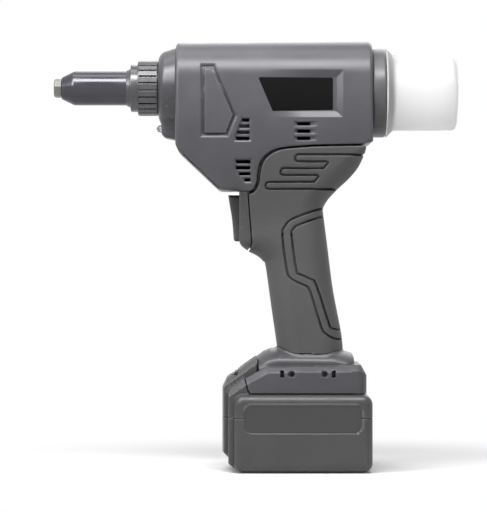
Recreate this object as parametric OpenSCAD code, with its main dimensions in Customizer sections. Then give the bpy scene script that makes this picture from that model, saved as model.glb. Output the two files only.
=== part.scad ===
// Battery rivet tool: a hand-held blind-rivet setter with a slide-on battery pack.
// Millimetres. +Z is up, the nose points along -X and the origin is the centre of the pack's underside.

/* [Whole tool] */
// Height of the pulling axis above the table
pull_axis_z = 281.5; // [275:0.5:300]
// Pulling stroke of the jaws
stroke = 25; // [15:1:25]
// Wall of the moulded housing
wall = 2.6; // [2:0.1:3]
// Thickness of the circuit boards
board_t = 1.6; // [1.2:0.1:2]
// Gap between pieces that move past each other
run_gap = 0.4; // [0.3:0.05:0.6]
// Radial play of a shaft in its bearing
shaft_play = 0.05; // [0.02:0.01:0.1]
// Overrun of every cut past the faces that it opens
cut_over = 1; // [0.5:0.1:2]

/* [Upper body] */
// Length of the upper body, collar seam to rear ring
body_l = 144; // [138:1:160]
// Rear face of the upper body, ahead of or behind the pack's middle
body_rear_x = 51; // [49:0.5:55]
// Half width of the upper body
body_half_w = 36; // [35:0.5:40]
// Top of the body above the pulling axis
body_rise = 34; // [33:0.5:38]
// Lower edge of the body side below the pulling axis
body_drop = 42; // [40:0.5:45]
// Radius of the roll along the top edges
body_roll_r = 25; // [18:0.5:27]
// Radius of the body's side at its widest
body_mid_r = 20; // [18:0.5:21]
// Lean of the sides toward the roll
body_lean = 4; // [2:0.5:5]
// Radius along the lower edges of the body side
body_low_r = 7; // [5:0.5:9]
// Rounding of the body's front and rear edges
body_edge_r = 3; // [1:0.5:4]
// Thickness of the nameplate
plate_t = 0.8; // [0.5:0.1:1.2]
// Height of one air slot
slot_h = 2.2; // [1.5:0.1:2.5]

/* [Handle and foot] */
// Depth of the grip, front to rear, above the foot
grip_depth = 48.5; // [46:0.5:54]
// Thickness of the soft grip skin
skin_t = 2; // [1.5:0.1:2.5]
// Length of the foot
foot_l = 87.5; // [86:0.5:92]
// Front end of the foot, ahead of the pack's middle
foot_lead = 41; // [40:0.5:42]
// Half width of the foot
foot_half_w = 33; // [32:0.5:35]
// Height of the foot's rim above the pack
foot_rim_h = 19; // [18:0.5:22]
// Height of the foot's raised middle above the pack
foot_h = 32; // [30:0.5:34]
// Corner radius of the foot in plan
foot_r = 8; // [5:0.5:10]
// Bore of a hook insert in the foot's side
insert_bore_r = 1.65; // [1.2:0.05:1.8]
// Outside radius of a hook insert
insert_r = 3.2; // [2.8:0.1:3.4]
// Length of a hook insert
insert_l = 6; // [5:0.5:7]
// Depth of an insert's face inside the foot's side
insert_set = 2; // [1.5:0.1:3]
// Radius of the hole in the foot's side over an insert
insert_hole_r = 2.2; // [2:0.1:2.6]

/* [Housing screws] */
// Shank radius of a housing screw
screw_r = 1.5; // [1.2:0.1:1.8]
// Head radius of a housing screw
screw_head_r = 3; // [2.6:0.1:3.2]
// Head height of a housing screw
screw_head_h = 2; // [1.5:0.1:2.4]
// Length of a housing screw's shank
screw_l = 22; // [18:1:24]
// Wall of a screw boss round its screw
boss_t = 2.4; // [2:0.1:2.6]

/* [Nose] */
// Length of the front collar
collar_l = 13.1; // [11:0.1:15]
// Radius of the front collar
collar_r = 27.8; // [27:0.1:30]
// Rounding of the collar's front edge
collar_edge_r = 4; // [2:0.5:5]
// Wall of the front collar
collar_t = 3; // [2:0.1:3.5]
// Half width of the lamp block under the collar
lamp_half_w = 12; // [10:0.5:14]
// Bottom of the lamp block below the pulling axis
lamp_drop = 38.2; // [37:0.2:40]
// Set-back of the lamp block behind the collar's front
lamp_set = 1; // [0.5:0.1:2]
// Middle of the lamp lens below the pulling axis
lens_drop = 30.5; // [30:0.5:32]
// Radius of the lamp lens
lens_r = 2.5; // [2:0.1:3]
// Length of the lamp lens behind its dome
lens_l = 8; // [6:0.5:9]
// Length of the fluted part of the lock nut
flute_l = 15.1; // [13:0.1:17]
// Radius of the lock nut
lock_nut_r = 20.2; // [19.5:0.1:22]
// Number of flutes round the lock nut
flute_n = 14; // [8:1:20]
// Radius of one flute
flute_r = 2.6; // [1.5:0.1:3]
// Length of the lock nut's smooth shoulder
shoulder_l = 5.4; // [4:0.1:7]
// Radius of the lock nut's smooth shoulder
shoulder_r = 17.5; // [16.5:0.1:19]
// Length of the lock nut's front neck
neck_l = 3.1; // [2:0.1:4]
// Radius of the lock nut's front neck
neck_r = 14.5; // [13.5:0.1:16]
// Length of the nose sleeve's straight barrel ahead of the lock nut
barrel_l = 38.7; // [37:0.1:44]
// Radius of the nose sleeve's barrel
barrel_r = 12.6; // [12.2:0.1:13.2]
// Bore of the nose sleeve
sleeve_bore_r = 9.5; // [9.5:0.05:9.9]
// Length of the cone at the front of the nose sleeve
cone_l = 9.3; // [8:0.1:12]
// Radius at the front of that cone
cone_tip_r = 8; // [7:0.1:9]
// Length of the sleeve's rear flange
sleeve_flange_l = 3; // [2:0.1:4]
// Radius of the sleeve's rear flange
sleeve_flange_r = 15.8; // [14.5:0.1:16.2]
// Length of the nosepiece's hexagon
tip_l = 5.6; // [4:0.1:8]
// Radius over the corners of the nosepiece's hexagon
tip_r = 6.85; // [6:0.05:7.5]
// Radius of the nosepiece's threaded shank
tip_shank_r = 5; // [4:0.1:5.5]
// Mandrel bore of the nosepiece
mandrel_r = 1.7; // [1.2:0.05:2]

/* [Gear train] */
// Pitch radius of the idler's gear
idler_pitch_r = 16.875; // [15.75:0.225:17.55]
// Pitch radius of the ball nut's gear
nut_pitch_r = 22.5; // [21.6:0.225:22.95]
// Face width of the first stage
stage1_w = 6; // [5:0.5:7]
// Face width of the second stage
stage2_w = 10; // [8:0.5:11]
// Wall of the gear case
case_t = 3; // [2.5:0.1:3.4]
// Thickness of the case plug behind its bearing
plug_t = 2; // [1.5:0.1:3]
// Space between a gear's side and its neighbour
side_gap = 1; // [0.6:0.1:1.5]
// Room between the front bearing and the second stage
bearing_room = 3; // [2:0.5:4]
// Radius of the ball nut
nut_r = 13; // [12:0.1:13.5]
// Outside radius of the ball nut's bearings
nut_bearing_r = 20; // [18:0.1:20.5]
// Width of the ball nut's bearings
nut_bearing_w = 8; // [6:0.5:9]
// Radius of the ball screw
ball_screw_r = 7.5; // [7:0.1:7.8]
// Bore through the ball screw
ball_screw_bore_r = 3.2; // [2.5:0.1:3.4]
// Radius of the idler's shaft
idler_r = 3; // [2.6:0.1:3.4]
// Outside radius of the idler's front bush
idler_bush_r = 8; // [7.6:0.1:8.4]
// Thickness of the wall that carries the motor's front bearing
cover_t = 5; // [4:0.5:6]
// Radius of the guide rod
guide_rod_r = 3; // [2.5:0.1:3.2]
// Height of the guide rod above the pulling axis
guide_rod_rise = 16; // [15.5:0.5:16.5]
// Radius of the gear case's screws
case_screw_r = 1.6; // [1.2:0.1:1.8]

/* [Jaws and mandrel path] */
// Outside radius of the jaw case
jaw_case_r = 9.1; // [8.8:0.05:9.1]
// Bore of the jaw case behind its cone
jaw_bore_r = 7.6; // [7:0.1:7.8]
// Radius of the jaw case's front mouth
jaw_mouth_r = 4.2; // [4:0.1:4.6]
// Gap between the pull adapter and the gear case at rest
adapter_gap = 1.2; // [1:0.1:3]
// Length of a jaw
jaw_l = 12; // [10:0.5:13]
// Closing travel of the jaws
jaw_travel = 1.2; // [0.8:0.1:1.4]
// Length of the jaw pusher
pusher_l = 5; // [4:0.5:6]
// Wire radius of the jaw spring
jaw_wire_r = 0.6; // [0.4:0.05:0.7]
// Length of the pull adapter behind the jaw case
adapter_l = 9; // [7:0.5:10]
// Outside radius of the mandrel tube
mandrel_tube_r = 4; // [3.8:0.05:4.1]
// Bore of the mandrel tube
mandrel_tube_bore_r = 3; // [2.6:0.1:3.2]
// Outside radius of the fixed guide tube
guide_tube_r = 5.8; // [5.4:0.1:6.2]

/* [Motor] */
// Outside radius of the motor's can
can_r = 18; // [17:0.1:18.5]
// Wall of the motor's can
can_t = 1.6; // [1.2:0.1:2]
// Thickness of the field magnets
magnet_t = 3.4; // [3:0.1:3.6]
// Air gap round the rotor
air_gap = 0.6; // [0.4:0.05:0.8]
// Radius of the rotor's shaft
rotor_shaft_r = 2.5; // [2.2:0.05:2.6]
// Length of the space behind the motor for its leads
rear_room = 19.4; // [15:0.2:22]
// Radius of the motor's bearings
motor_bearing_r = 8; // [7.5:0.1:8.5]
// Width of the motor's bearings
motor_bearing_w = 5; // [4:0.5:5.5]
// Radius of the cooling fan
fan_r = 17; // [15:0.5:18]
// Width of the cooling fan
fan_w = 6; // [5:0.5:6.5]
// Room between the fan and the can
fan_room = 2; // [1:0.1:3]
// Number of fan blades
fan_n = 11; // [7:1:15]
// Radius of the commutator
commutator_r = 6; // [5:0.1:7]
// Width of a brush
brush_w = 5; // [4:0.5:6]
// Gap between the winding and a brush
brush_gap = 2.3; // [1.5:0.1:3]

/* [Container and rear ring] */
// Drop of the container's axis below the pulling axis
container_drop = 3.5; // [2:0.5:5]
// Length of the rear ring
ring_l = 10.4; // [9:0.1:12]
// Radius of the rear ring
ring_r = 32.8; // [32:0.1:34]
// Bore of the rear ring
ring_bore_r = 26.4; // [26:0.1:27]
// Length of the container behind the rear ring
cup_l = 52.1; // [45:0.1:60]
// Radius of the container
cup_r = 27.7; // [27.2:0.1:28.5]
// Radius of the container's spigot inside the ring
spigot_r = 26; // [25.4:0.1:26]
// Wall of the container
cup_t = 2; // [1.6:0.1:2.2]
// Length of the container's coned flange
flange_l = 5.6; // [4:0.1:7]

/* [Trigger] */
// Height of the trigger pad
trigger_h = 34; // [32:0.5:35]
// Half width of the trigger pad
trigger_half_w = 10; // [9:0.5:10]
// Travel of the trigger
trigger_travel = 5.5; // [4:0.5:6]
// Projection of the trigger pad ahead of its bezel
trigger_lead = 8; // [7:0.5:9]
// Depth of the trigger bezel
bezel_l = 10.3; // [9:0.1:11]
// Wall of the trigger bezel
bezel_t = 4.6; // [3.6:0.1:5]
// Radius of the switch plunger
plunger_r = 3; // [2.5:0.1:3.4]
// Length of the switch
switch_l = 25; // [22:0.5:26]
// Half width of the switch
switch_half_w = 9; // [8:0.5:10]

/* [Battery pack] */
// Length of the pack's main shell
pack_l = 101.2; // [100.8:0.2:104]
// Width of the pack
pack_w = 76; // [75.4:0.2:80]
// Height of the pack's main shell
pack_h = 56.8; // [55:0.2:60]
// Height of the seam between the pack's two shells
pack_seam_z = 39.7; // [38:0.1:41]
// Corner radius of the pack in plan
pack_r = 8; // [6:0.5:9]
// Radius of the pack's upper and lower edges at its ends
pack_edge_r = 6; // [4:0.5:6]
// Wall of the pack
pack_t = 2.4; // [2:0.1:2.5]
// Gap between the pack and the foot
pack_gap = 0.4; // [0.3:0.05:0.6]
// Step of the pack's middle front band
band_step = 3.8; // [3:0.1:5]
// Step of the pack's narrow front band ahead of the middle one
nose_step = 4.5; // [3:0.1:5]
// Half width of the narrow front band and latch block
block_half_w = 22; // [21:0.5:23]
// Height of the latch block above the pack's top
block_h = 25.4; // [24:0.2:27]
// Reach of the latch block into the foot
block_reach = 6; // [5:0.5:8]
// Half width of the tongue's neck
tongue_half_w = 22; // [21:0.5:22.5]
// Half width of the tongue's rails
rail_half_w = 26; // [25:0.5:26.5]
// Thickness of the tongue's rails
rail_t = 4.2; // [3.5:0.1:4.6]
// Height of the tongue's neck under its rails
tongue_neck_h = 4.2; // [3.8:0.1:4.6]
// Height of the tongue's top above its rails
tongue_rise = 3; // [2.5:0.1:3.5]
// Thickness of the foot behind the tongue
tongue_end_t = 7.8; // [6:0.1:9]
// Room at each end of a cell for the straps
cell_end_room = 3.1; // [2.8:0.1:3.6]
// Room between a row of cells and the pack's wall
cell_side_room = 0.65; // [0.4:0.05:0.8]
// Gap between neighbouring cells
cell_gap = 0.9; // [0.8:0.05:1.1]
// Cells in a row
cell_n = 5; // [5:1:5]
// Thickness of the label panels
label_t = 0.4; // [0.3:0.1:0.8]
// Thickness of the contact blades
blade_t = 0.8; // [0.6:0.1:1]
// Height of the contact blades
blade_h = 6; // [5:0.5:7]
// Gap between the tongue and the terminal block
contact_gap = 2; // [1.5:0.1:3]
// Half width left beside the terminal block in the tongue's slot
terminal_inset = 3; // [2.5:0.1:4]
// Height of the terminal block above the tongue
terminal_rise = 6; // [4:0.5:7]
// Press of the latch button
latch_travel = 4; // [2:0.5:4]
// Half width of the latch button
latch_half_w = 12; // [10:0.5:13]
// Length of the latch button
latch_l = 9.6; // [8:0.1:11]
// Front of the latch button ahead of the latch block's rear
latch_lead = 17; // [16:0.5:18]
// Length of the latch spring at rest
latch_spring_l = 6; // [5:0.5:7]
// Reach of the latch button's catch into the foot
hook_reach = 3; // [2:0.1:4]
// Thickness of the latch button's base
latch_base_t = 2; // [1.5:0.1:3]
// Wire radius of the latch spring
latch_wire_r = 0.45; // [0.3:0.05:0.6]

/* [Hidden] */
$fn = 96;

// Facets of the rounded housing forms and of round cuts in them
form_fn = 24;
cut_fn = 32;
// Radius at which a faceted cut just clears a round piece
cut_grow = 1 / cos(180 / cut_fn);

// Colours of the materials
body_grey = "#6e6d72";
grip_grey = "#585859";
black_steel = "#404045";
bright_steel = "#a9abae";
brass = "#b79b52";
copper = "#b06a3c";
board_green = "#2c5a3a";
black_plastic = "#26262a";
pack_grey = "#515151";
clear_grey = "#e8e8e8";
cell_blue = "#2f5f9e";

// Stations along the pulling axis
body_front_x = body_rear_x - body_l;
body_top_z = pull_axis_z + body_rise;
body_bottom_z = pull_axis_z - body_drop;
collar_front_x = body_front_x - collar_l;
flute_front_x = collar_front_x - flute_l;
shoulder_front_x = flute_front_x - shoulder_l;
neck_front_x = shoulder_front_x - neck_l;
barrel_front_x = neck_front_x - barrel_l;
cone_front_x = barrel_front_x - cone_l;
tip_x = cone_front_x - tip_l;
spigot_front_x = flute_front_x + sleeve_flange_l;
ring_rear_x = body_rear_x + ring_l;
cup_rear_x = ring_rear_x + cup_l;
container_z = pull_axis_z - container_drop;

// Gear train: motor pinion to idler gear, then idler pinion to the gear on the ball nut
motor_teeth = 9;
idler_teeth = 45;
idler_pinion_teeth = 12;
nut_teeth = 45;
pressure_angle = 25;
addendum_share = 0.8;
dedendum_share = 1;
backlash_share = 0.08;
stage1_m = 2 * idler_pitch_r / idler_teeth;
stage2_m = 2 * nut_pitch_r / nut_teeth;
stage1_c = stage1_m * (motor_teeth + idler_teeth) / 2;
stage2_c = stage2_m * (idler_pinion_teeth + nut_teeth) / 2;
idler_z = pull_axis_z - stage2_c;
motor_z = idler_z - stage1_c;
idler_tip_r = stage1_m * (idler_teeth / 2 + addendum_share);
nut_tip_r = stage2_m * (nut_teeth / 2 + addendum_share);

// Stations of the drive
case_front_x = body_front_x + wall;
nut_x = case_front_x + case_t;
stage2_x = nut_x + nut_bearing_w + bearing_room;
plate_x = stage2_x + stage2_w + side_gap;
case_rear_x = plate_x + nut_bearing_w + plug_t;
stage1_x = case_rear_x + case_t;
cover_in_x = stage1_x + stage1_w + side_gap;
cover_x = cover_in_x + cover_t;
fan_x = cover_x + side_gap;
can_x = fan_x + fan_w + fan_room;
brush_plate_t = motor_bearing_w + case_t;
rotor_rear_x = body_rear_x - rear_room;
can_rear_x = rotor_rear_x - brush_plate_t;
can_l = can_rear_x - can_x;
case_cavity_r = nut_tip_r + side_gap;
case_r = case_cavity_r + case_t;
rod_z = pull_axis_z + guide_rod_rise;
ear_r = case_screw_r + case_t - side_gap / 2;
ear_y = case_r + case_screw_r;

// Stations of the jaws and the mandrel path
jaw_case_x = barrel_front_x + case_t + side_gap;
adapter_rear_x = spigot_front_x - adapter_gap;
adapter_x = adapter_rear_x - adapter_l;
jaw_seat_share = 0.5;
jaw_cone_l = case_t + jaw_l - 2 * jaw_travel;
jaw_x = jaw_case_x + case_t;
pusher_x = jaw_x + jaw_l;
spring_x = pusher_x + pusher_l;
adapter_spigot_l = adapter_l * jaw_seat_share;
screw_front_x = adapter_rear_x - adapter_spigot_l;
shoe_x = cover_x + side_gap;
shoe_l = adapter_l;
screw_rear_x = shoe_x + shoe_l;
guide_tube_x = screw_rear_x + stroke + side_gap;
guide_tube_rear_x = ring_rear_x + side_gap;
mandrel_tube_x = screw_rear_x - shoe_l;
mandrel_tube_rear_x = guide_tube_rear_x - stroke + side_gap;
rod_rear_x = guide_tube_x + adapter_l;

// The body's section: half width, centre height and radius of the rounds it is drawn over
low_r = body_low_r + body_edge_r;
body_rounds = [
    [body_half_w - body_lean, body_top_z - body_roll_r, body_roll_r],
    [body_half_w, body_bottom_z + body_mid_r, body_mid_r],
    [body_half_w, body_bottom_z + low_r, low_r]
];
side_run = [body_lean + body_roll_r - body_mid_r, body_rounds[0][1] - body_rounds[1][1]];
side_lean = atan2(side_run[0], side_run[1]) - asin((body_roll_r - body_mid_r) / norm(side_run));

// Air slots: start and end as shares of the body's length, and the share of its drop below the axis
slot_shares = [
    [0.337, 0.374, 0.606], [0.324, 0.374, 0.71], [0.313, 0.374, 0.815], [0.308, 0.374, 0.919],
    [0.308, 0.379, 1.319], [0.308, 0.379, 1.421], [0.324, 0.379, 1.526], [0.35, 0.379, 1.63],
    [0.617, 0.681, 0.667], [0.617, 0.681, 0.795], [0.617, 0.681, 0.919]
];

// Nameplate corners, as shares of the body's length and of its drop
plate_shares = [[0.413, 0.16], [0.797, 0.15], [0.797, -0.42], [0.49, -0.45]];

// Handle and foot
foot_z = pack_h + pack_gap;
foot_top_z = foot_z + foot_h;
foot_x = -foot_lead;
foot_rear_x = foot_x + foot_l;
handle_h = body_bottom_z - foot_top_z;
thin = cut_over / 10;
// Handle sections: height share, front and rear shares of the grip's depth, width share of the body
handle_shares = [
    [-0.06, -0.36, 0.625, 0.59],
    [0, -0.385, 0.618, 0.585],
    [0.085, -0.416, 0.59, 0.57],
    [0.317, -0.515, 0.456, 0.55],
    [0.432, -0.6, 0.4, 0.553],
    [0.478, -0.78, 0.385, 0.556],
    [0.685, -0.794, 0.313, 0.6],
    [0.78, -0.82, 0.536, 0.7],
    [0.888, -0.86, 0.845, 0.85],
    [1.06, -0.9, 0.95, 0.98]
];
// Chin sections: height share, front share of the body's length, width share of the body
chin_shares = [[1.07, 0.001, 0.985], [0.885, 0.118, 0.86], [0.78, 0.243, 0.7]];
chin_rear_share = 0.66;
section_r_share = 0.68;
// Foot sections: height share of the rim, front and rear shares of the foot's length, width share
rim_shares = [[0, 0, 1, 1], [0.36, 0, 1, 1], [0.94, 0.17, 0.9, 0.94]];
plateau_shares = [
    [0.5, 0.09, 0.905, 0.75], [0.8, 0.105, 0.9, 0.735], [0.92, 0.16, 0.88, 0.64], [1, 0.22, 0.7, 0.46]
];
// Edge of the soft grip: shares of the grip's depth and of the handle's height
grip_edge_shares = [
    [-0.83, 0.757], [-0.73, 0.77], [-0.67, 0.812], [-0.65, 0.865], [-0.62, 0.907],
    [-0.524, 0.943], [-0.346, 0.972], [-0.02, 0.983], [0.24, 0.988], [1.2, 0.991]
];
grip_foot_share = 0.012;
// Opening between the body and the handle: shares of the body's length and half width
floor_shares = [0.072, 0.91, 0.783];

// Trigger, its bezel and the switch behind it
bezel_top_share = 0.768;
bezel_top_z = foot_top_z + handle_h * bezel_top_share;
bezel_h = trigger_h + bezel_t * 3 / 2;
bezel_z = bezel_top_z - bezel_h;
bezel_front_share = -0.965;
bezel_x = grip_depth * bezel_front_share;
bezel_w_share = 0.5;
bezel_half_w = bezel_w_share * body_half_w;
bezel_r = bezel_half_w - trigger_half_w - run_gap;
trigger_z = bezel_z + bezel_t;
trigger_x = bezel_x - trigger_lead;
trigger_rear_x = bezel_x + bezel_l - 2 * run_gap;
switch_x = trigger_rear_x + trigger_travel + side_gap;
switch_z = trigger_z;
plunger_l = switch_x - trigger_rear_x + trigger_travel;
plunger_room = trigger_travel + side_gap;
plunger_z = switch_z + trigger_h / 2;

// Screw axes: shares of the body's length and of the pulling axis's height, and the boss's half width share
screw_shares = [
    [0.5, 1.092, 0.5], [0.92, 1.062, 0.5], [0.935, 0.9, 0.6], [0.16, 0.805, 0.5],
    [0.69, 0.717, 0.35], [0.51, 0.561, 0.3], [0.74, 0.385, 0.3], [0.865, 0.281, 0.4]
];
screw_pos = [for (s = screw_shares) [
    body_front_x + s[0] * body_l,
    s[1] * pull_axis_z,
    s[2] * body_half_w
]];
boss_r = screw_r + boss_t;

// Battery pack
pack_half_l = pack_l / 2;
pack_half_w = pack_w / 2;
block_rear_x = foot_x + block_reach;
band_x = -pack_half_l - band_step;
nose_x = band_x - nose_step;
rail_z = pack_h + tongue_neck_h;
rail_top_z = rail_z + rail_t;
tongue_top_z = rail_top_z + tongue_rise;
tongue_rear_x = foot_rear_x - tongue_end_t;
contact_share = 0.49;
contact_x = block_rear_x + foot_l * contact_share;
block_face_x = contact_x + contact_gap;
terminal_l_share = 0.26;
terminal_l = foot_l * terminal_l_share;
terminal_half_w = tongue_half_w - terminal_inset;
terminal_top_z = tongue_top_z + terminal_rise;
blade_shares = [-0.62, -0.2, 0.2, 0.62];
cell_l = pack_w - 2 * (pack_t + cell_end_room);
cell_pitch = (pack_l - 2 * (pack_t + cell_side_room) + cell_gap) / cell_n;
cell_r = (cell_pitch - cell_gap) / 2;
cell_z = pack_t + cell_r + run_gap;
cell_row_h = cell_pitch;
holder_t = pack_t;
board_z = cell_z + cell_row_h + cell_r + pack_t;
latch_x = block_rear_x - latch_lead;
latch_floor_z = pack_h - latch_spring_l;
hook_z = tongue_top_z + latch_travel + run_gap;
hook_h = latch_travel;
hook_w_share = 0.66;
hook_half_w = latch_half_w * hook_w_share;
insert_pitch_share = 0.274;
insert_mid_share = 0.512;
insert_pitch = foot_l * insert_pitch_share;
insert_x = foot_x + foot_l * insert_mid_share;
insert_rise_share = 0.76;
insert_z = foot_z + foot_rim_h * insert_rise_share;
insert_face_y = foot_half_w - insert_set;

case_neck_r = lock_nut_r - run_gap;

// Motor inside its can
magnet_arc = 130;
rotor_r = can_r - can_t - magnet_t - air_gap;
core_l_share = 0.6;
core_x = can_x + can_l * (1 - core_l_share) / 3;
core_rear_x = core_x + can_l * core_l_share;

// Control board in the handle: shares of the grip's depth and of the handle's height
board_shares = [0.08, 0.1, 0.34, 0.24];
board_x = grip_depth * board_shares[0];
board_low_z = foot_top_z + handle_h * board_shares[1];
board_h = handle_h * board_shares[2];
board_half_w = grip_depth * board_shares[3];
lead_r_share = 0.09;
lead_r = lead_r_share * board_half_w;
lead_y = can_r + 2 * lead_r;

// Shares of neighbouring sizes
pinion_seat_share = 0.7;
pinion_seat_r = rotor_shaft_r * pinion_seat_share;
jaw_arc = 112;
trigger_hollow_share = 3;
trigger_hollow_r = trigger_hollow_share * trigger_h;
band_foot_share = 0.05;
nose_foot_share = 0.185;
band_half_share = 0.84;
pack_screw_shares = [0.62, 0.39];
pack_boss_share = 1.55;
pack_boss_r = screw_r * pack_boss_share;
label_l_share = 0.84;
label_z_shares = [0.5, 0.866];

// A round bar along X
module bar_x(x0, x1, r, z = pull_axis_z, y = 0) {
    translate([x0, y, z]) rotate([0, 90, 0]) cylinder(h = x1 - x0, r = r);
}

// A round cut along X for a faceted form, just clear of radius r
module cut_x(x0, x1, r, z = pull_axis_z, y = 0) {
    translate([x0, y, z]) rotate([0, 90, 0]) cylinder(h = x1 - x0, r = r * cut_grow, $fn = cut_fn);
}

// A tube along X
module tube_x(x0, x1, r, bore, z = pull_axis_z) {
    difference() {
        bar_x(x0, x1, r, z);
        bar_x(x0 - cut_over, x1 + cut_over, bore, z);
    }
}

// A cone along X
module cone_x(x0, x1, r0, r1, z = pull_axis_z) {
    translate([x0, 0, z]) rotate([0, 90, 0]) cylinder(h = x1 - x0, r1 = r0, r2 = r1);
}

// A plate across X from a flat outline whose own x runs down from height z
module plate_x_form(x0, x1, z = pull_axis_z) {
    translate([x0, 0, z]) rotate([0, 90, 0]) linear_extrude(x1 - x0) children();
}

// A box between two X, half width and two Z stations
module block(x0, x1, half_w, z0, z1) {
    translate([x0, -half_w, z0]) cube([x1 - x0, 2 * half_w, z1 - z0]);
}

// A rounded slab of exact arcs
module round_slab(x0, x1, half_w, z0, z1, r) {
    translate([0, 0, z0]) linear_extrude(z1 - z0) {
        translate([x0 + r, -half_w]) square([x1 - x0 - 2 * r, 2 * half_w]);
        translate([x0, -half_w + r]) square([x1 - x0, 2 * half_w - 2 * r]);
        for (x = [x0 + r, x1 - r], y = [-half_w + r, half_w - r]) translate([x, y]) circle(r = r);
    }
}

// One thin section of a faceted form
module section(x0, x1, half_w, z, r) {
    for (x = [x0 + r, x1 - r], y = [-half_w + r, half_w - r])
        translate([x, y, z]) cylinder(h = thin, r = r, $fn = form_fn);
}

// Involute helpers, for a base circle of radius 1
function involute_at(r) = sqrt(r * r - 1) * 180 / PI - acos(1 / r);
function polar(r, a) = [r * cos(a), r * sin(a)];

// A spur gear's outline with a tooth on its own +x
module gear_outline(m, teeth) {
    pitch_r = m * teeth / 2;
    base_r = pitch_r * cos(pressure_angle);
    root_r = pitch_r - dedendum_share * m;
    tip_r = pitch_r + addendum_share * m;
    half = 90 / teeth * (1 - backlash_share) + involute_at(pitch_r / base_r);
    flank_n = 5;
    start_r = max(base_r, root_r);
    flank = [for (i = [0 : flank_n]) start_r + (tip_r - start_r) * i / flank_n];
    points = [for (t = [0 : teeth - 1]) let (mid = 360 / teeth * t) each concat(
        [polar(root_r, mid - half)],
        [for (r = flank) polar(r, mid - half + involute_at(r / base_r))],
        [for (i = [flank_n : -1 : 0]) polar(flank[i], mid + half - involute_at(flank[i] / base_r))],
        [polar(root_r, mid + half)]
    )];
    polygon(points);
}

// A gear along X; turn is the angle of its first tooth from straight down
module gear_x(x0, w, m, teeth, bore, turn, z) {
    plate_x_form(x0, x0 + w, z) difference() {
        rotate(turn) gear_outline(m, teeth);
        circle(r = bore);
    }
}

// A closed coil of round wire about +Z, from its foot at 0 to its height h
module coil(r, wire_r, turns, h) {
    sides = 6;
    steps = 14 * turns;
    lift = h - 2 * wire_r;
    ring = function (i) let (a = 360 * turns * i / steps) [for (k = [0 : sides - 1])
        let (b = 360 * k / sides, q = r + wire_r * cos(b))
        [q * cos(a), q * sin(a), wire_r + lift * i / steps + wire_r * sin(b)]];
    points = [for (i = [0 : steps]) each ring(i)];
    skin = [for (i = [0 : steps - 1], k = [0 : sides - 1]) let (n = (k + 1) % sides)
        [i * sides + n, (i + 1) * sides + n, (i + 1) * sides + k, i * sides + k]];
    ends = [[for (k = [sides - 1 : -1 : 0]) k], [for (k = [0 : sides - 1]) steps * sides + k]];
    polyhedron(points, concat(skin, ends), convexity = 6);
}

// A wire through points: straight runs of eight sides, each past the next bend by half a wire
module lead(points, r) {
    runs = len(points) - 1;
    for (i = [1 : runs]) {
        run = points[i] - points[i - 1];
        long = norm(run) + (i < runs ? r / 2 : 0);
        translate(points[i - 1]) rotate([0, acos(run[2] / norm(run)), atan2(run[1], run[0])])
            cylinder(h = long, r = r, $fn = 8);
    }
}

// The upper body, drawn in by inset
module body_form(inset) {
    hull() for (edge = [0, body_edge_r], side = [-1, 1]) {
        x0 = body_front_x + inset + body_edge_r - edge;
        x1 = body_rear_x - inset - body_edge_r + edge;
        shrink = inset + edge;
        for (s = body_rounds) translate([x0, side * (s[0] - s[2]), s[1]]) rotate([0, 90, 0])
            cylinder(h = x1 - x0, r = s[2] - shrink, $fn = 2 * form_fn);
    }
}

// The handle and chin, drawn in by inset
module handle_section(s, inset) {
    half_w = s[3] * body_half_w - inset;
    section(
        s[1] * grip_depth + inset,
        s[2] * grip_depth - inset,
        half_w,
        foot_top_z + s[0] * handle_h,
        half_w * section_r_share
    );
}

module chin_section(s, inset) {
    half_w = s[2] * body_half_w - inset;
    section(
        body_front_x + s[1] * body_l + inset,
        body_front_x + chin_rear_share * body_l - inset,
        half_w,
        foot_top_z + s[0] * handle_h,
        body_low_r
    );
}

module lower_form(inset) {
    for (i = [0 : len(handle_shares) - 2]) hull() {
        handle_section(handle_shares[i], inset);
        handle_section(handle_shares[i + 1], inset);
    }
    for (i = [0 : len(chin_shares) - 2]) hull() {
        chin_section(chin_shares[i], inset);
        chin_section(chin_shares[i + 1], inset);
    }
}

// The foot's outside
module foot_form() {
    hull() for (s = rim_shares) section(
        foot_x + s[1] * foot_l,
        foot_x + s[2] * foot_l,
        s[3] * foot_half_w,
        foot_z + s[0] * foot_rim_h,
        foot_r
    );
    hull() for (s = plateau_shares) section(
        foot_x + s[1] * foot_l,
        foot_x + s[2] * foot_l,
        s[3] * foot_half_w,
        foot_z + s[0] * foot_h - thin,
        foot_r
    );
}

// The hollow inside body and handle
module tool_hollow() {
    body_form(wall);
    intersection() {
        lower_form(wall + skin_t);
        block(nose_x + body_front_x, body_rear_x, 2 * body_half_w, tongue_top_z, body_bottom_z + 3 * wall);
    }
    block(
        handle_shares[0][1] * grip_depth / 2, handle_shares[0][2] * grip_depth * 3 / 4,
        grip_depth / 4, tongue_top_z, foot_top_z + wall
    );
    block(
        body_front_x + floor_shares[0] * body_l, body_front_x + floor_shares[1] * body_l,
        floor_shares[2] * body_half_w, body_bottom_z - wall, body_bottom_z + 2 * wall
    );
}

// Side view area of the soft grip, as a wide prism
module grip_zone(half_w) {
    low_z = foot_top_z + grip_foot_share * handle_h;
    edge = [for (s = grip_edge_shares) [s[0] * grip_depth, foot_top_z + s[1] * handle_h]];
    rear_x = grip_depth * grip_edge_shares[9][0];
    front_x = bezel_x - grip_depth;
    translate([0, half_w, 0]) rotate([90, 0, 0]) linear_extrude(2 * half_w) polygon(concat(
        edge,
        [[rear_x, low_z], [front_x, low_z], [front_x, bezel_z], [edge[0][0], bezel_z]]
    ));
}

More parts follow.
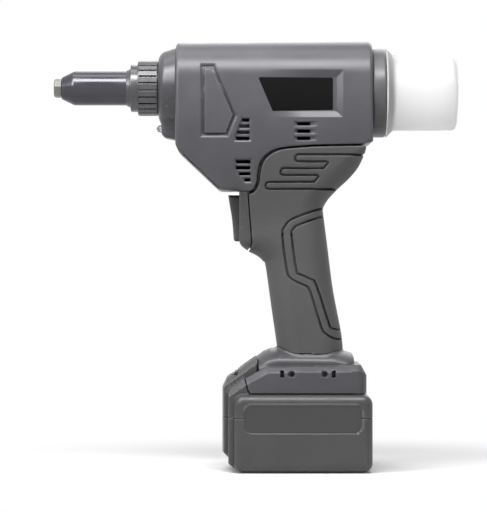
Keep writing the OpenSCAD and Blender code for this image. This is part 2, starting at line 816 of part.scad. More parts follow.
// Everything on one side of the middle plane: -1 is the left side, +1 the right
module half_space(side) {
    far = 4 * body_half_w;
    translate([tip_x, side < 0 ? -far : 0, 0]) cube([cup_rear_x - tip_x, far, body_top_z + far]);
}

// Outline of the gear case's hollow, grown by t
module case_outline(t) {
    circle(r = case_cavity_r + t);
    translate([stage2_c, 0]) circle(r = idler_bush_r + t);
    translate([0, -idler_bush_r - t]) square([stage2_c, 2 * (idler_bush_r + t)]);
}

// The gear case's outside as a cut in the faceted housing ribs
module case_cut() {
    cut_x(case_front_x, case_rear_x, case_r);
    cut_x(case_front_x, case_rear_x, idler_bush_r + case_t, idler_z);
    block(case_front_x, case_rear_x, idler_bush_r + case_t, idler_z, pull_axis_z);
}

// Ribs that cradle the gear case, the motor and the guide rod
module ribs() {
    rib_t = wall;
    difference() {
        union() {
            for (x = [stage2_x - 2 * rib_t, stage2_x + stage2_w / 2])
                block(x, x + rib_t, 2 * body_half_w, body_bottom_z - rib_t, body_top_z + rib_t);
            for (x = [can_x + can_r / 2, can_rear_x - can_r / 2])
                block(x, x + rib_t, 2 * body_half_w, motor_z - can_r - 3 * rib_t, motor_z + can_r);
            block(
                rod_rear_x - rib_t, rod_rear_x, 2 * body_half_w,
                pull_axis_z + can_r / 2, body_top_z + rib_t
            );
        }
        case_cut();
        cut_x(can_x, can_rear_x, can_r, motor_z);
        block(can_x, can_rear_x, can_r + 4 * lead_r, motor_z - 2 * lead_r, motor_z + 2 * lead_r);
        cut_x(guide_tube_x, body_rear_x, guide_tube_r);
        cut_x(cover_x, rod_rear_x + cut_over, guide_rod_r, rod_z);
    }
}

// Ledges that hold the switch, the control board and the terminal block
module ledges() {
    for (side = [-1, 1]) {
        for (z = [board_low_z + board_h / 6, board_low_z + board_h * 2 / 3])
            translate([board_x, side > 0 ? board_half_w : -body_half_w, z])
                cube([2 * wall, body_half_w - board_half_w, wall]);
        translate([switch_x + wall, side > 0 ? switch_half_w : -body_half_w, switch_z + wall])
            cube([switch_l / 2, body_half_w - switch_half_w, trigger_h / 2]);
    }
}

// Screw bosses on the middle plane
module bosses() {
    for (p = screw_pos) translate([p[0], body_half_w, p[1]]) rotate([90, 0, 0])
        cylinder(h = 2 * body_half_w, r = boss_r, $fn = form_fn);
}

// Holes for the screws: shanks from the left, counterbores from the right
module screw_holes() {
    for (p = screw_pos) translate([p[0], p[2], p[1]]) rotate([90, 0, 0]) {
        cylinder(h = screw_l, r = screw_r * cut_grow, $fn = cut_fn);
        translate([0, 0, -body_half_w]) cylinder(h = body_half_w, r = (screw_head_r + run_gap), $fn = cut_fn);
    }
}

// Air slots through both sides
module air_slots() {
    for (s = slot_shares) {
        z = pull_axis_z - s[2] * body_drop - slot_h / 2;
        x0 = body_front_x + s[0] * body_l;
        block(x0, body_front_x + s[1] * body_l, 2 * body_half_w, z, z + slot_h);
    }
}

// The slot in the foot for the pack's tongue, its latch block and its terminals
module foot_slots() {
    gap = pack_gap;
    low_z = foot_z - cut_over;
    block(nose_x, tongue_rear_x + gap, tongue_half_w + gap, low_z, rail_top_z + gap);
    block(nose_x, tongue_rear_x + gap, rail_half_w + gap, rail_z - gap, rail_top_z + gap);
    block(nose_x, tongue_rear_x + gap, tongue_half_w - gap, low_z, tongue_top_z + gap);
    block(nose_x, block_rear_x + gap, block_half_w + gap, low_z, foot_top_z + foot_h);
    block(
        block_rear_x, block_rear_x + hook_reach + gap, hook_half_w + gap,
        rail_top_z, hook_z + hook_h + gap
    );
    block(block_face_x, block_face_x + terminal_l, terminal_half_w, low_z, terminal_top_z);
}

// Holes for the hook inserts, and the small slots beside them
module insert_holes() {
    for (side = [-1, 1], step = [-1, 1]) {
        x = insert_x + step * insert_pitch / 2;
        translate([x, 0, insert_z]) rotate([90 * side, 0, 0]) {
            cylinder(h = 2 * foot_half_w, r = insert_hole_r, $fn = cut_fn);
            translate([0, 0, insert_face_y - insert_l])
                cylinder(h = insert_l, r = insert_r * cut_grow, $fn = cut_fn);
        }
    }
}

// The moulded housing: upper body, handle core and foot
module housing(side) {
    color(body_grey) intersection() {
        half_space(side);
        difference() {
            union() {
                body_form(0);
                lower_form(0);
                foot_form();
            }
            difference() {
                tool_hollow();
                ribs();
                ledges();
                bosses();
            }
            difference() {
                grip_zone(2 * body_half_w);
                lower_form(skin_t);
            }
            bezel_block();
            trigger_way();
            air_slots();
            foot_slots();
            insert_holes();
            screw_holes();
            case_cut();
            cut_x(body_front_x - cut_over, nut_x, case_neck_r);
            cut_x(can_rear_x, ring_rear_x, guide_tube_r);
            cut_x(case_rear_x - 2 * nut_bearing_w, cover_x, ear_r, pull_axis_z, ear_y);
            cut_x(case_rear_x - 2 * nut_bearing_w, cover_x, ear_r, pull_axis_z, -ear_y);
            if (side < 0) nameplate_form(plate_t + cut_over, cut_over);
        }
    }
}

module housing_left() {
    housing(-1);
}

module housing_right() {
    housing(1);
}

// The soft skin over one side of the handle
module grip(side) {
    color(grip_grey) intersection() {
        half_space(side);
        difference() {
            intersection() {
                lower_form(0);
                grip_zone(body_half_w);
            }
            lower_form(skin_t);
            bezel_block();
            trigger_way();
            body_form(0);
            air_slots();
            screw_holes();
        }
    }
}

module grip_left() {
    grip(-1);
}

module grip_right() {
    grip(1);
}

// Screws that draw the halves together, driven from the right
module housing_screws() {
    color(bright_steel) for (p = screw_pos) translate([p[0], p[2], p[1]]) rotate([90, 0, 0]) {
        cylinder(h = screw_l, r = screw_r);
        translate([0, 0, -screw_head_h]) difference() {
            cylinder(h = screw_head_h, r = screw_head_r);
            translate([0, 0, -cut_over]) cylinder(h = screw_head_h / 2 + cut_over, r = screw_r, $fn = 6);
        }
    }
}

// The bare plate on the left side, depth deep and standing proud by lift
module nameplate_form(depth, lift) {
    points = [for (s = plate_shares) [body_front_x + s[0] * body_l, pull_axis_z + s[1] * body_drop]];
    s = body_rounds[1];
    translate([0, s[2] - s[0], s[1]]) rotate([-side_lean, 0, 0]) translate([0, depth - lift - s[2], -s[1]])
        rotate([90, 0, 0]) linear_extrude(depth) polygon(points);
}

module nameplate() {
    color(black_plastic) nameplate_form(plate_t, 0);
}

// The collar round the gear case's neck, with the lamp block under it
module collar_form(t, over) {
    rear_x = body_front_x + over;
    translate([0, 0, pull_axis_z]) rotate([0, 90, 0]) rotate_extrude() {
        x0 = collar_front_x + t;
        square_l = rear_x - x0;
        r = collar_r - t;
        edge = collar_edge_r - t;
        translate([0, x0 + edge]) square([r, square_l - edge]);
        translate([0, x0]) square([r - edge, square_l]);
        translate([r - edge, x0 + edge]) circle(r = edge);
    }
    lamp_x = collar_front_x + lamp_set + t;
    lamp_z = pull_axis_z - lamp_drop + t;
    round = collar_edge_r - t;
    block(lamp_x + round, rear_x, lamp_half_w - t, lamp_z, pull_axis_z - case_neck_r);
    block(lamp_x, rear_x, lamp_half_w - t, lamp_z + round, pull_axis_z - case_neck_r);
    translate([lamp_x + round, lamp_half_w - t, lamp_z + round]) rotate([90, 0, 0])
        cylinder(h = 2 * (lamp_half_w - t), r = round);
}

module front_collar() {
    color(body_grey) difference() {
        collar_form(0, 0);
        collar_form(collar_t, cut_over);
        bar_x(tip_x, body_front_x + cut_over, case_neck_r);
        bar_x(tip_x, body_front_x + cut_over, lens_r, pull_axis_z - lens_drop);
    }
}

module work_light_lens() {
    color(clear_grey) {
        bar_x(collar_front_x, collar_front_x + lens_l, lens_r, pull_axis_z - lens_drop);
        intersection() {
            translate([collar_front_x, 0, pull_axis_z - lens_drop]) sphere(r = lens_r);
            bar_x(tip_x, collar_front_x + lens_r / 2, lens_r, pull_axis_z - lens_drop);
        }
    }
}

module lock_nut() {
    color(black_steel) difference() {
        union() {
            bar_x(flute_front_x, collar_front_x, lock_nut_r);
            bar_x(shoulder_front_x, flute_front_x, shoulder_r);
            cone_x(neck_front_x, shoulder_front_x, barrel_r + run_gap, neck_r);
        }
        bar_x(tip_x, collar_front_x, barrel_r);
        bar_x(flute_front_x, collar_front_x + cut_over, sleeve_flange_r);
        for (i = [0 : flute_n - 1]) rotate_about_pull(360 / flute_n * (i + 1 / 2)) bar_x(
            flute_front_x + side_gap, collar_front_x - side_gap,
            flute_r, pull_axis_z + lock_nut_r + flute_r / 2
        );
    }
}

// Turn children about the pulling axis
module rotate_about_pull(angle) {
    translate([0, 0, pull_axis_z]) rotate([angle, 0, 0]) translate([0, 0, -pull_axis_z]) children();
}

module nose_sleeve() {
    color(black_steel) difference() {
        union() {
            cone_x(cone_front_x, barrel_front_x, cone_tip_r, barrel_r);
            bar_x(barrel_front_x, flute_front_x, barrel_r);
            bar_x(flute_front_x, spigot_front_x, sleeve_flange_r);
        }
        bar_x(jaw_case_x - case_t, spigot_front_x + cut_over, sleeve_bore_r);
        bar_x(tip_x, jaw_case_x, tip_shank_r);
    }
}

module nosepiece() {
    color(black_steel) difference() {
        union() {
            intersection() {
                translate([tip_x, 0, pull_axis_z]) rotate([0, 90, 0]) cylinder(h = tip_l, r = tip_r, $fn = 6);
                cone_x(tip_x, cone_front_x, tip_r - side_gap, tip_r + tip_l - side_gap);
            }
            bar_x(cone_front_x, jaw_case_x - case_t, tip_shank_r);
            cone_x(jaw_case_x - case_t, jaw_case_x + side_gap, jaw_mouth_r - run_gap, jaw_mouth_r - side_gap);
        }
        bar_x(tip_x - cut_over, jaw_x, mandrel_r);
    }
}

// Gear case: front spigot for the nose, neck and drum
module gear_case() {
    color(bright_steel) difference() {
        union() {
            plate_x_form(case_front_x, case_rear_x) case_outline(case_t);
            bar_x(collar_front_x, nut_x, case_neck_r);
            bar_x(spigot_front_x, collar_front_x, sleeve_flange_r);
            for (side = [-1, 1]) bar_x(plate_x, case_rear_x, ear_r, pull_axis_z, side * ear_y);
        }
        plate_x_form(nut_x + nut_bearing_w, case_rear_x + cut_over) case_outline(0);
        bar_x(nut_x, nut_x + 2 * nut_bearing_w, nut_bearing_r);
        bar_x(nut_x, nut_x + 2 * nut_bearing_w, idler_bush_r, idler_z);
        bar_x(spigot_front_x - cut_over, case_rear_x, sleeve_bore_r);
        for (side = [-1, 1])
            bar_x(plate_x - cut_over, case_rear_x + cut_over, case_screw_r, pull_axis_z, side * ear_y);
    }
}

// Plug that closes the case behind the second stage and seats the ball nut's rear bearing
module gear_plate() {
    color(bright_steel) difference() {
        plate_x_form(plate_x, case_rear_x) case_outline(0);
        bar_x(plate_x - cut_over, plate_x + nut_bearing_w, nut_bearing_r);
        bar_x(plate_x - cut_over, case_rear_x + cut_over, nut_r + side_gap);
        bar_x(plate_x - cut_over, case_rear_x + cut_over, idler_r + side_gap, idler_z);
    }
}

// Rear cover: flange on the case, cup over the first stage, seats for bearing, bush and guide rod
module gear_cover() {
    cover_r = idler_tip_r + side_gap + case_t;
    color(bright_steel) difference() {
        union() {
            plate_x_form(case_rear_x, stage1_x) case_outline(case_t);
            bar_x(case_rear_x, cover_x, cover_r, idler_z);
            bar_x(case_rear_x, cover_x, motor_bearing_r + case_t, motor_z);
            bar_x(case_rear_x, cover_x, ball_screw_r + 2 * case_t);
            block(cover_in_x, cover_x, guide_rod_r + case_t, pull_axis_z, rod_z);
            bar_x(cover_in_x, cover_x, guide_rod_r + case_t, rod_z);
            for (side = [-1, 1]) bar_x(case_rear_x, stage1_x, ear_r, pull_axis_z, side * ear_y);
        }
        bar_x(case_rear_x - cut_over, cover_in_x, idler_tip_r + side_gap, idler_z);
        bar_x(case_rear_x - cut_over, cover_in_x, motor_bearing_r - side_gap, motor_z);
        bar_x(case_rear_x - cut_over, cover_x + cut_over, ball_screw_r + side_gap);
        bar_x(case_rear_x, cover_x + cut_over, motor_bearing_r, motor_z);
        bar_x(case_rear_x, cover_x + cut_over, 2 * idler_r, idler_z);
        bar_x(case_rear_x, cover_x + cut_over, guide_rod_r, rod_z);
        for (side = [-1, 1]) bar_x(case_rear_x - cut_over, cover_x, case_screw_r, pull_axis_z, side * ear_y);
    }
}

module case_screws() {
    color(bright_steel) for (side = [-1, 1]) {
        bar_x(plate_x + side_gap, stage1_x, case_screw_r, pull_axis_z, side * ear_y);
        bar_x(stage1_x, stage1_x + case_t, 2 * case_screw_r, pull_axis_z, side * ear_y);
    }
}

module nut_bearings() {
    color(bright_steel) {
        tube_x(nut_x, nut_x + nut_bearing_w, nut_bearing_r, nut_r + shaft_play);
        tube_x(plate_x, plate_x + nut_bearing_w, nut_bearing_r, nut_r + shaft_play);
    }
}

module idler_bushes() {
    color(brass) {
        tube_x(nut_x, nut_x + cover_t, idler_bush_r, idler_r + shaft_play, idler_z);
        tube_x(cover_in_x, cover_x, 2 * idler_r, idler_r + shaft_play, idler_z);
    }
}

module motor_bearings() {
    color(bright_steel) {
        tube_x(cover_x - motor_bearing_w, cover_x, motor_bearing_r, rotor_shaft_r + shaft_play, motor_z);
        tube_x(can_rear_x + case_t, rotor_rear_x, motor_bearing_r, rotor_shaft_r + shaft_play, motor_z);
    }
}

// Rod that keeps the ball screw from turning
module guide_rod() {
    color(bright_steel) bar_x(cover_in_x, rod_rear_x, guide_rod_r, rod_z);
}

module rear_ring() {
    color(body_grey) tube_x(body_rear_x, ring_rear_x, ring_r, ring_bore_r, container_z);
}

// Fixed tube that carries spent mandrels into the container
module guide_tube() {
    color(black_plastic) difference() {
        union() {
            bar_x(guide_tube_x, guide_tube_rear_x, guide_tube_r);
            bar_x(body_rear_x, body_rear_x + cup_t, 2 * guide_tube_r);
        }
        bar_x(guide_tube_x - cut_over, guide_tube_rear_x + cut_over, mandrel_tube_r + run_gap);
    }
}

module motor_can() {
    color(bright_steel) tube_x(can_x, can_rear_x, can_r, can_r - can_t, motor_z);
}

// Two arched field magnets inside the can
module motor_magnets() {
    color(black_plastic) for (turn = [0, 180])
        translate([core_x, 0, motor_z]) rotate([0, 90, 0]) rotate(turn + 90 - magnet_arc / 2)
            rotate_extrude(angle = magnet_arc) translate([can_r - can_t - magnet_t, 0])
                square([magnet_t, core_rear_x - core_x]);
}

// End plate of the motor: rear bearing seat and two brushes
module brush_plate() {
    brush_x = core_rear_x + 4 * air_gap + brush_gap;
    brush_y = can_r - can_t - side_gap;
    brush_in_y = commutator_r + run_gap;
    color(black_plastic) {
        difference() {
            union() {
                bar_x(can_rear_x, can_rear_x + case_t, can_r, motor_z);
                bar_x(can_rear_x, rotor_rear_x, motor_bearing_r + case_t, motor_z);
            }
            bar_x(can_rear_x - cut_over, rotor_rear_x + cut_over, rotor_shaft_r + side_gap, motor_z);
            bar_x(can_rear_x + case_t, rotor_rear_x + cut_over, motor_bearing_r, motor_z);
        }
        for (side = [-1, 1]) difference() {
            translate([brush_x, side > 0 ? brush_in_y : -brush_y, motor_z - brush_w / 2])
                cube([can_rear_x - brush_x, brush_y - brush_in_y, brush_w]);
            bar_x(brush_x - cut_over, can_rear_x, commutator_r + run_gap, motor_z);
        }
    }
}

// Block that fills the trigger opening in the housing
module bezel_block() {
    block(bezel_x - cut_over, bezel_x + bezel_l, body_half_w, bezel_z, bezel_z + bezel_h);
}

// Way through bezel and housing for the trigger
module trigger_way() {
    block(
        bezel_x - cut_over, switch_x + side_gap, trigger_half_w + run_gap,
        trigger_z - run_gap, trigger_z + trigger_h + run_gap
    );
}

module trigger_bezel() {
    color(pack_grey) difference() {
        intersection() {
            round_slab(bezel_x, bezel_x + 2 * bezel_l, bezel_half_w, bezel_z, bezel_z + bezel_h, bezel_r);
            bezel_block();
        }
        trigger_way();
    }
}

module switch_body() {
    color(black_plastic) difference() {
        block(switch_x, switch_x + switch_l, switch_half_w, switch_z, switch_z + trigger_h);
        bar_x(switch_x - cut_over, switch_x + 2 * plunger_room, plunger_r + run_gap, plunger_z);
    }
}

// Control board standing in the handle, with three power chips and a capacitor
module control_board() {
    chip = board_half_w / 3;
    color(board_green) block(board_x, board_x + board_t, board_half_w, board_low_z, board_low_z + board_h);
    color(black_plastic) {
        for (i = [-1 : 1]) translate([board_x + board_t, i * 2 * chip - chip / 2, board_low_z + board_h / 2])
            cube([board_t, chip, 2 * chip]);
        bar_x(board_x - board_half_w, board_x, chip, board_low_z + board_h / 4);
    }
}

// Terminal block in the foot, with four blades that reach forward into the pack
module terminal_block() {
    color(black_plastic)
        block(block_face_x, block_face_x + terminal_l, terminal_half_w, foot_z, terminal_top_z);
}

module terminal_blades() {
    color(copper) for (s = blade_shares)
        translate([block_face_x - terminal_l / 2, s * terminal_half_w - blade_t / 2, rail_z])
            cube([terminal_l / 2, blade_t, blade_h]);
}

// Leads: pack terminals to the board, board to the switch, switch to the motor
module wiring() {
    r = lead_r;
    y = board_half_w / 2;
    low_x = block_face_x + terminal_l / 4;
    switch_back_x = switch_x + switch_l / 2;
    color(copper) for (side = [-1, 1]) {
        lead([
            [low_x, side * y / 2, terminal_top_z],
            [low_x, side * y / 2, foot_top_z],
            [board_x + board_t / 2, side * y, foot_top_z + (board_low_z - foot_top_z) / 2],
            [board_x + board_t / 2, side * y, board_low_z]
        ], r);
        lead([
            [board_x + board_t / 2, side * y, board_low_z + board_h],
            [board_x + board_t / 2, side * y, switch_z - board_t],
            [switch_back_x, side * y, switch_z - board_t],
            [switch_back_x, side * y, switch_z]
        ], r);
        lead([
            [switch_back_x, side * y, switch_z + trigger_h],
            [switch_back_x, side * y, switch_z + trigger_h + 2 * board_t],
            [switch_back_x, side * lead_y, motor_z - can_r / 2],
            [switch_back_x, side * lead_y, motor_z],
            [can_rear_x + case_t / 2, side * lead_y, motor_z],
            [can_rear_x + case_t / 2, side * can_r, motor_z]
        ], r);
    }
}

// Threaded brass inserts behind the holes in the foot's sides
module hook_inserts() {
    color(brass) for (side = [-1, 1], step = [-1, 1])
        translate([insert_x + step * insert_pitch / 2, 0, insert_z]) rotate([90 * side, 0, 0])
            translate([0, 0, insert_face_y - insert_l]) difference() {
                cylinder(h = insert_l, r = insert_r);
                translate([0, 0, -cut_over]) cylinder(h = insert_l + 2 * cut_over, r = insert_bore_r);
            }
}

// Rotor
module rotor_shaft() {
    color(bright_steel) {
        bar_x(stage1_x - side_gap, cover_in_x, pinion_seat_r, motor_z);
        bar_x(cover_in_x, rotor_rear_x, rotor_shaft_r, motor_z);
    }
}

module rotor_core() {
    coil_r = rotor_r - 2 * air_gap;
    color(copper) difference() {
        union() {
            bar_x(core_x, core_rear_x, rotor_r, motor_z);
            bar_x(core_x - 4 * air_gap, core_rear_x + 4 * air_gap, coil_r, motor_z);
        }
        bar_x(can_x, can_rear_x, rotor_shaft_r, motor_z);
    }
}

module commutator() {
    color(copper)
        tube_x(core_rear_x + 4 * air_gap, can_rear_x - side_gap, commutator_r, rotor_shaft_r, motor_z);
}

module cooling_fan() {
    hub_r = 2 * rotor_shaft_r;
    color(black_plastic) difference() {
        union() {
            bar_x(fan_x, fan_x + fan_w, hub_r, motor_z);
            bar_x(fan_x + fan_w - side_gap, fan_x + fan_w, fan_r, motor_z);
            for (i = [0 : fan_n - 1]) translate([fan_x, 0, motor_z]) rotate([360 / fan_n * i, 0, 0])
                translate([side_gap / 2, -side_gap / 2, hub_r * 3 / 4])
                    cube([fan_w - side_gap, side_gap, fan_r - hub_r * 3 / 4 - side_gap]);
        }
        bar_x(fan_x - cut_over, fan_x + fan_w + cut_over, rotor_shaft_r, motor_z);
    }
}

module motor_pinion() {
    color(bright_steel)
        gear_x(stage1_x - side_gap, stage1_w + side_gap, stage1_m, motor_teeth, pinion_seat_r, 180, motor_z);
}

// Idler: shaft with its cut pinion, and the gear pressed on it
module idler_shaft() {
    color(bright_steel) {
        difference() {
            bar_x(nut_x + side_gap / 2, cover_x - side_gap / 2, idler_r, idler_z);
            bar_x(stage2_x - side_gap, stage2_x + stage2_w, idler_r - side_gap, idler_z);
        }
        gear_x(
            stage2_x - side_gap, stage2_w + side_gap, stage2_m,
            idler_pinion_teeth, idler_r - side_gap, 180, idler_z
        );
    }
}

module idler_gear() {
    color(bright_steel)
        gear_x(stage1_x, stage1_w, stage1_m, idler_teeth, idler_r, 180 / idler_teeth, idler_z);
}

// Ball nut with its gear ring
module ball_nut() {
    bore = ball_screw_r + run_gap;
    color(bright_steel) {
        tube_x(nut_x + side_gap / 2, case_rear_x - side_gap / 2, nut_r, bore);
        difference() {
            gear_x(stage2_x, stage2_w, stage2_m, nut_teeth, bore, 180 / nut_teeth, pull_axis_z);
            bar_x(stage2_x - cut_over, stage2_x + stage2_w + cut_over, bore);
        }
    }
}

module ball_screw() {
    color(bright_steel) difference() {
        bar_x(screw_front_x, screw_rear_x, ball_screw_r);
        bar_x(screw_front_x - cut_over, screw_rear_x + cut_over, ball_screw_bore_r);
        bar_x(mandrel_tube_x, screw_rear_x + cut_over, mandrel_tube_r);
    }
}

// Coupling between ball screw and jaw case
module pull_adapter() {
    color(bright_steel) difference() {
        union() {
            bar_x(adapter_x, adapter_rear_x, jaw_case_r);
            bar_x(adapter_x - adapter_spigot_l, adapter_x, jaw_bore_r);
        }
        bar_x(adapter_x - 2 * adapter_l, adapter_rear_x, ball_screw_bore_r);
        bar_x(screw_front_x, adapter_rear_x + cut_over, ball_screw_r);
    }
}

module jaw_case() {
    color(bright_steel) difference() {
        bar_x(jaw_case_x, adapter_x, jaw_case_r);
        bar_x(jaw_case_x + jaw_cone_l, adapter_x + cut_over, jaw_bore_r);
        cone_x(jaw_case_x, jaw_case_x + jaw_cone_l, jaw_mouth_r, jaw_bore_r);
        bar_x(jaw_case_x - cut_over, jaw_case_x + jaw_cone_l, jaw_mouth_r);
    }
}

// Three gripping jaws, with their cone clear of the case's cone
module jaws() {
    slope = (jaw_bore_r - jaw_mouth_r) / jaw_cone_l;
    rest_gap = run_gap + jaw_travel * slope;
    front_r = jaw_mouth_r + slope * (jaw_x - jaw_case_x) - rest_gap;
    rear_r = jaw_bore_r - run_gap;
    cone_l = (rear_r - front_r) / slope;
    bite_r = mandrel_r + run_gap;
    color(black_steel) for (i = [0 : 2]) translate([jaw_x, 0, pull_axis_z]) rotate([0, 90, 0]) rotate(i * 120)
        rotate_extrude(angle = jaw_arc) polygon([
            [bite_r, 0], [front_r, 0], [rear_r, cone_l], [rear_r, jaw_l], [bite_r, jaw_l]
        ]);
}

module jaw_pusher() {
    color(black_steel) tube_x(pusher_x, spring_x, jaw_bore_r - run_gap, mandrel_r + run_gap);
}

module jaw_spring() {
    spring_l = adapter_x - adapter_spigot_l - spring_x;
    color(bright_steel) translate([spring_x, 0, pull_axis_z]) rotate([0, 90, 0])
        coil(jaw_bore_r - 3 * jaw_wire_r, jaw_wire_r, 5, spring_l);
}

module mandrel_tube() {
    color(bright_steel) tube_x(mandrel_tube_x, mandrel_tube_rear_x, mandrel_tube_r, mandrel_tube_bore_r);
}

// Block on the ball screw's rear end that slides on the guide rod
module guide_shoe() {
    color(black_plastic) difference() {
        union() {
            bar_x(shoe_x, screw_rear_x, ball_screw_r + case_t);
            block(shoe_x, screw_rear_x, guide_rod_r + case_t - side_gap, pull_axis_z, rod_z);
            bar_x(shoe_x, screw_rear_x, guide_rod_r + case_t - side_gap, rod_z);
        }
        bar_x(shoe_x - cut_over, screw_rear_x + cut_over, ball_screw_r);
        bar_x(shoe_x - cut_over, screw_rear_x + cut_over, guide_rod_r + shaft_play, rod_z);
    }
}

// Trigger pad with a hollowed front face, and its plunger
module trigger() {
    color(pack_grey) {
        difference() {
            block(trigger_x, trigger_rear_x, trigger_half_w, trigger_z, trigger_z + trigger_h);
            translate([
                trigger_x + trigger_lead / 2 - trigger_hollow_r,
                trigger_half_w + cut_over,
                trigger_z + trigger_h / 3
            ]) rotate([90, 0, 0]) cylinder(h = 2 * (trigger_half_w + cut_over), r = trigger_hollow_r);
        }
        bar_x(trigger_rear_x, trigger_rear_x + plunger_l, plunger_r, plunger_z);
    }
}

// Clear container for spent mandrels, open toward the tool
module container() {
    spigot_x = body_rear_x + 2 * cup_t;
    color(clear_grey) difference() {
        union() {
            bar_x(spigot_x, ring_rear_x, spigot_r, container_z);
            cone_x(ring_rear_x, ring_rear_x + flange_l, ring_r, cup_r, container_z);
            bar_x(ring_rear_x, cup_rear_x, cup_r, container_z);
        }
        bar_x(spigot_x - cut_over, cup_rear_x - cup_t, spigot_r - cup_t, container_z);
    }
}

// Outside of the pack below its top: main shell and two front bands
module pack_form(z0, z1) {
    intersection() {
        round_slab(-pack_half_l, pack_half_l, pack_half_w, z0, z1, pack_r);
        translate([0, pack_half_w, pack_h / 2]) rotate([90, 0, 0])
            round_slab(-pack_half_l, pack_half_l, pack_h / 2, 0, pack_w, pack_edge_r);
    }
    band_z = max(z0, band_foot_share * pack_h);
    block(band_x, 0, band_half_share * pack_half_w, band_z, z1);
    block(nose_x, 0, block_half_w, max(z0, nose_foot_share * pack_h), z1);
}

module pack_hollow(z0, z1) {
    round_slab(-pack_half_l + pack_t, pack_half_l - pack_t, pack_half_w - pack_t, z0, z1, pack_r - pack_t);
}

// Pack screws stand in the shells' corners, in by shares of the corner radius
module pack_screw_spots() {
    for (x = [-1, 1], y = [-1, 1]) translate([
        x * (pack_half_l - pack_screw_shares[0] * pack_r),
        y * (pack_half_w - pack_screw_shares[1] * pack_r),
        0
    ]) children();
}

module case_lower() {
    color(pack_grey) difference() {
        pack_form(0, pack_seam_z);
        difference() {
            pack_hollow(pack_t, pack_seam_z + cut_over);
            pack_screw_spots() cylinder(h = pack_seam_z, r = pack_boss_r);
        }
        label_cut();
        pack_screw_spots() translate([0, 0, -cut_over]) cylinder(h = pack_seam_z, r = screw_r);
    }
}

// Upper shell with the tongue, its rails, the contact slots and the latch block
module latch_block() {
    slope_share = 0.2;
    translate([0, block_half_w, 0]) rotate([90, 0, 0]) linear_extrude(2 * block_half_w) polygon([
        [nose_x, pack_h], [nose_x, pack_h + block_h * slope_share],
        [block_rear_x - 2 * side_gap, pack_h + block_h], [block_rear_x, pack_h + block_h],
        [block_rear_x, pack_h]
    ]);
}

module case_upper() {
    color(pack_grey) difference() {
        union() {
            pack_form(pack_seam_z, pack_h);
            latch_block();
            block(block_rear_x, contact_x, tongue_half_w - 2 * pack_gap, pack_h, tongue_top_z);
            block(block_rear_x, tongue_rear_x, tongue_half_w, pack_h, rail_top_z);
            block(block_rear_x, tongue_rear_x, rail_half_w, rail_z, rail_top_z);
        }
        pack_hollow(pack_seam_z - cut_over, pack_h - pack_t);
        label_cut();
        block(contact_x, pack_half_l, terminal_half_w + pack_gap, pack_h, tongue_top_z + cut_over);
        for (s = blade_shares) translate([contact_x - terminal_l, s * terminal_half_w - 2 * blade_t, pack_h])
            cube([terminal_l + cut_over, 4 * blade_t, tongue_top_z - pack_h - side_gap]);
        block(
            latch_x - run_gap, latch_x + latch_l + run_gap, latch_half_w + run_gap,
            latch_floor_z, pack_h + block_h + cut_over
        );
        block(
            latch_x + latch_l - cut_over, block_rear_x + cut_over, hook_half_w + run_gap,
            hook_z - latch_travel - run_gap, hook_z + hook_h + run_gap
        );
        block(
            latch_x + latch_l - cut_over, block_rear_x + cut_over, hook_half_w + run_gap,
            hook_z, pack_h + block_h + cut_over
        );
    }
}

// Two layers of cells across the pack
module cell_spots() {
    for (i = [0 : cell_n - 1], row = [0, 1])
        translate([(i - (cell_n - 1) / 2) * cell_pitch, 0, cell_z + row * cell_row_h]) children();
}

module battery_cells() {
    color(cell_blue) cell_spots() rotate([90, 0, 0]) translate([0, 0, -cell_l / 2])
        cylinder(h = cell_l, r = cell_r);
}

// Two combs that space the cells
module cell_holder() {
    color(black_plastic) for (side = [-1, 1]) difference() {
        translate([
            -pack_half_l + pack_t,
            side * cell_l / 4 - holder_t / 2,
            pack_t
        ]) cube([pack_l - 2 * pack_t, holder_t, board_z - pack_t]);
        cell_spots() rotate([90, 0, 0]) translate([0, 0, -cell_l]) cylinder(h = 2 * cell_l, r = cell_r);
    }
}

// Nickel straps across the cell ends, each joining a pair of layers
module cell_straps() {
    strap_t = label_t;
    color(bright_steel) for (i = [0 : cell_n - 1], side = [-1, 1]) translate([
        (i - (cell_n - 1) / 2) * cell_pitch - cell_r / 2,
        side > 0 ? cell_l / 2 : -cell_l / 2 - strap_t,
        cell_z - cell_r / 2
    ]) cube([cell_r, strap_t, cell_row_h + cell_r]);
}

module battery_board() {
    color(board_green)
        block(-pack_half_l + 2 * pack_t, pack_half_l - 2 * pack_t, cell_l / 2, board_z, board_z + board_t);
}

// Clips in the contact slots, one leaf on each side of a blade
module battery_contacts() {
    color(copper) for (s = blade_shares, side = [-1, 1])
        translate([
            contact_x - terminal_l,
            s * terminal_half_w + side * blade_t * 3 / 2 - blade_t / 2,
            pack_h
        ]) cube([terminal_l / 2, blade_t, tongue_top_z - pack_h - contact_gap]);
}

module battery_screws() {
    color(bright_steel) pack_screw_spots() translate([0, 0, pack_t / 2])
        cylinder(h = pack_seam_z * 3 / 4, r = screw_r);
}

// Bare label panels in shallow recesses on both sides
module label_form(t) {
    z0 = label_z_shares[0] * pack_h;
    half_h = (label_z_shares[1] - label_z_shares[0]) * pack_h / 2;
    translate([0, 0, z0 + half_h]) rotate([90, 0, 0])
        round_slab(-label_l_share * pack_half_l, label_l_share * pack_half_l, half_h, 0, t, half_h / 2);
}

module on_both_sides() {
    for (side = [0, 180]) rotate(side) translate([0, -pack_half_w + label_t, 0]) children();
}

module label_cut() {
    on_both_sides() label_form(label_t + cut_over);
}

module label_panels() {
    color(black_plastic) on_both_sides() label_form(label_t);
}

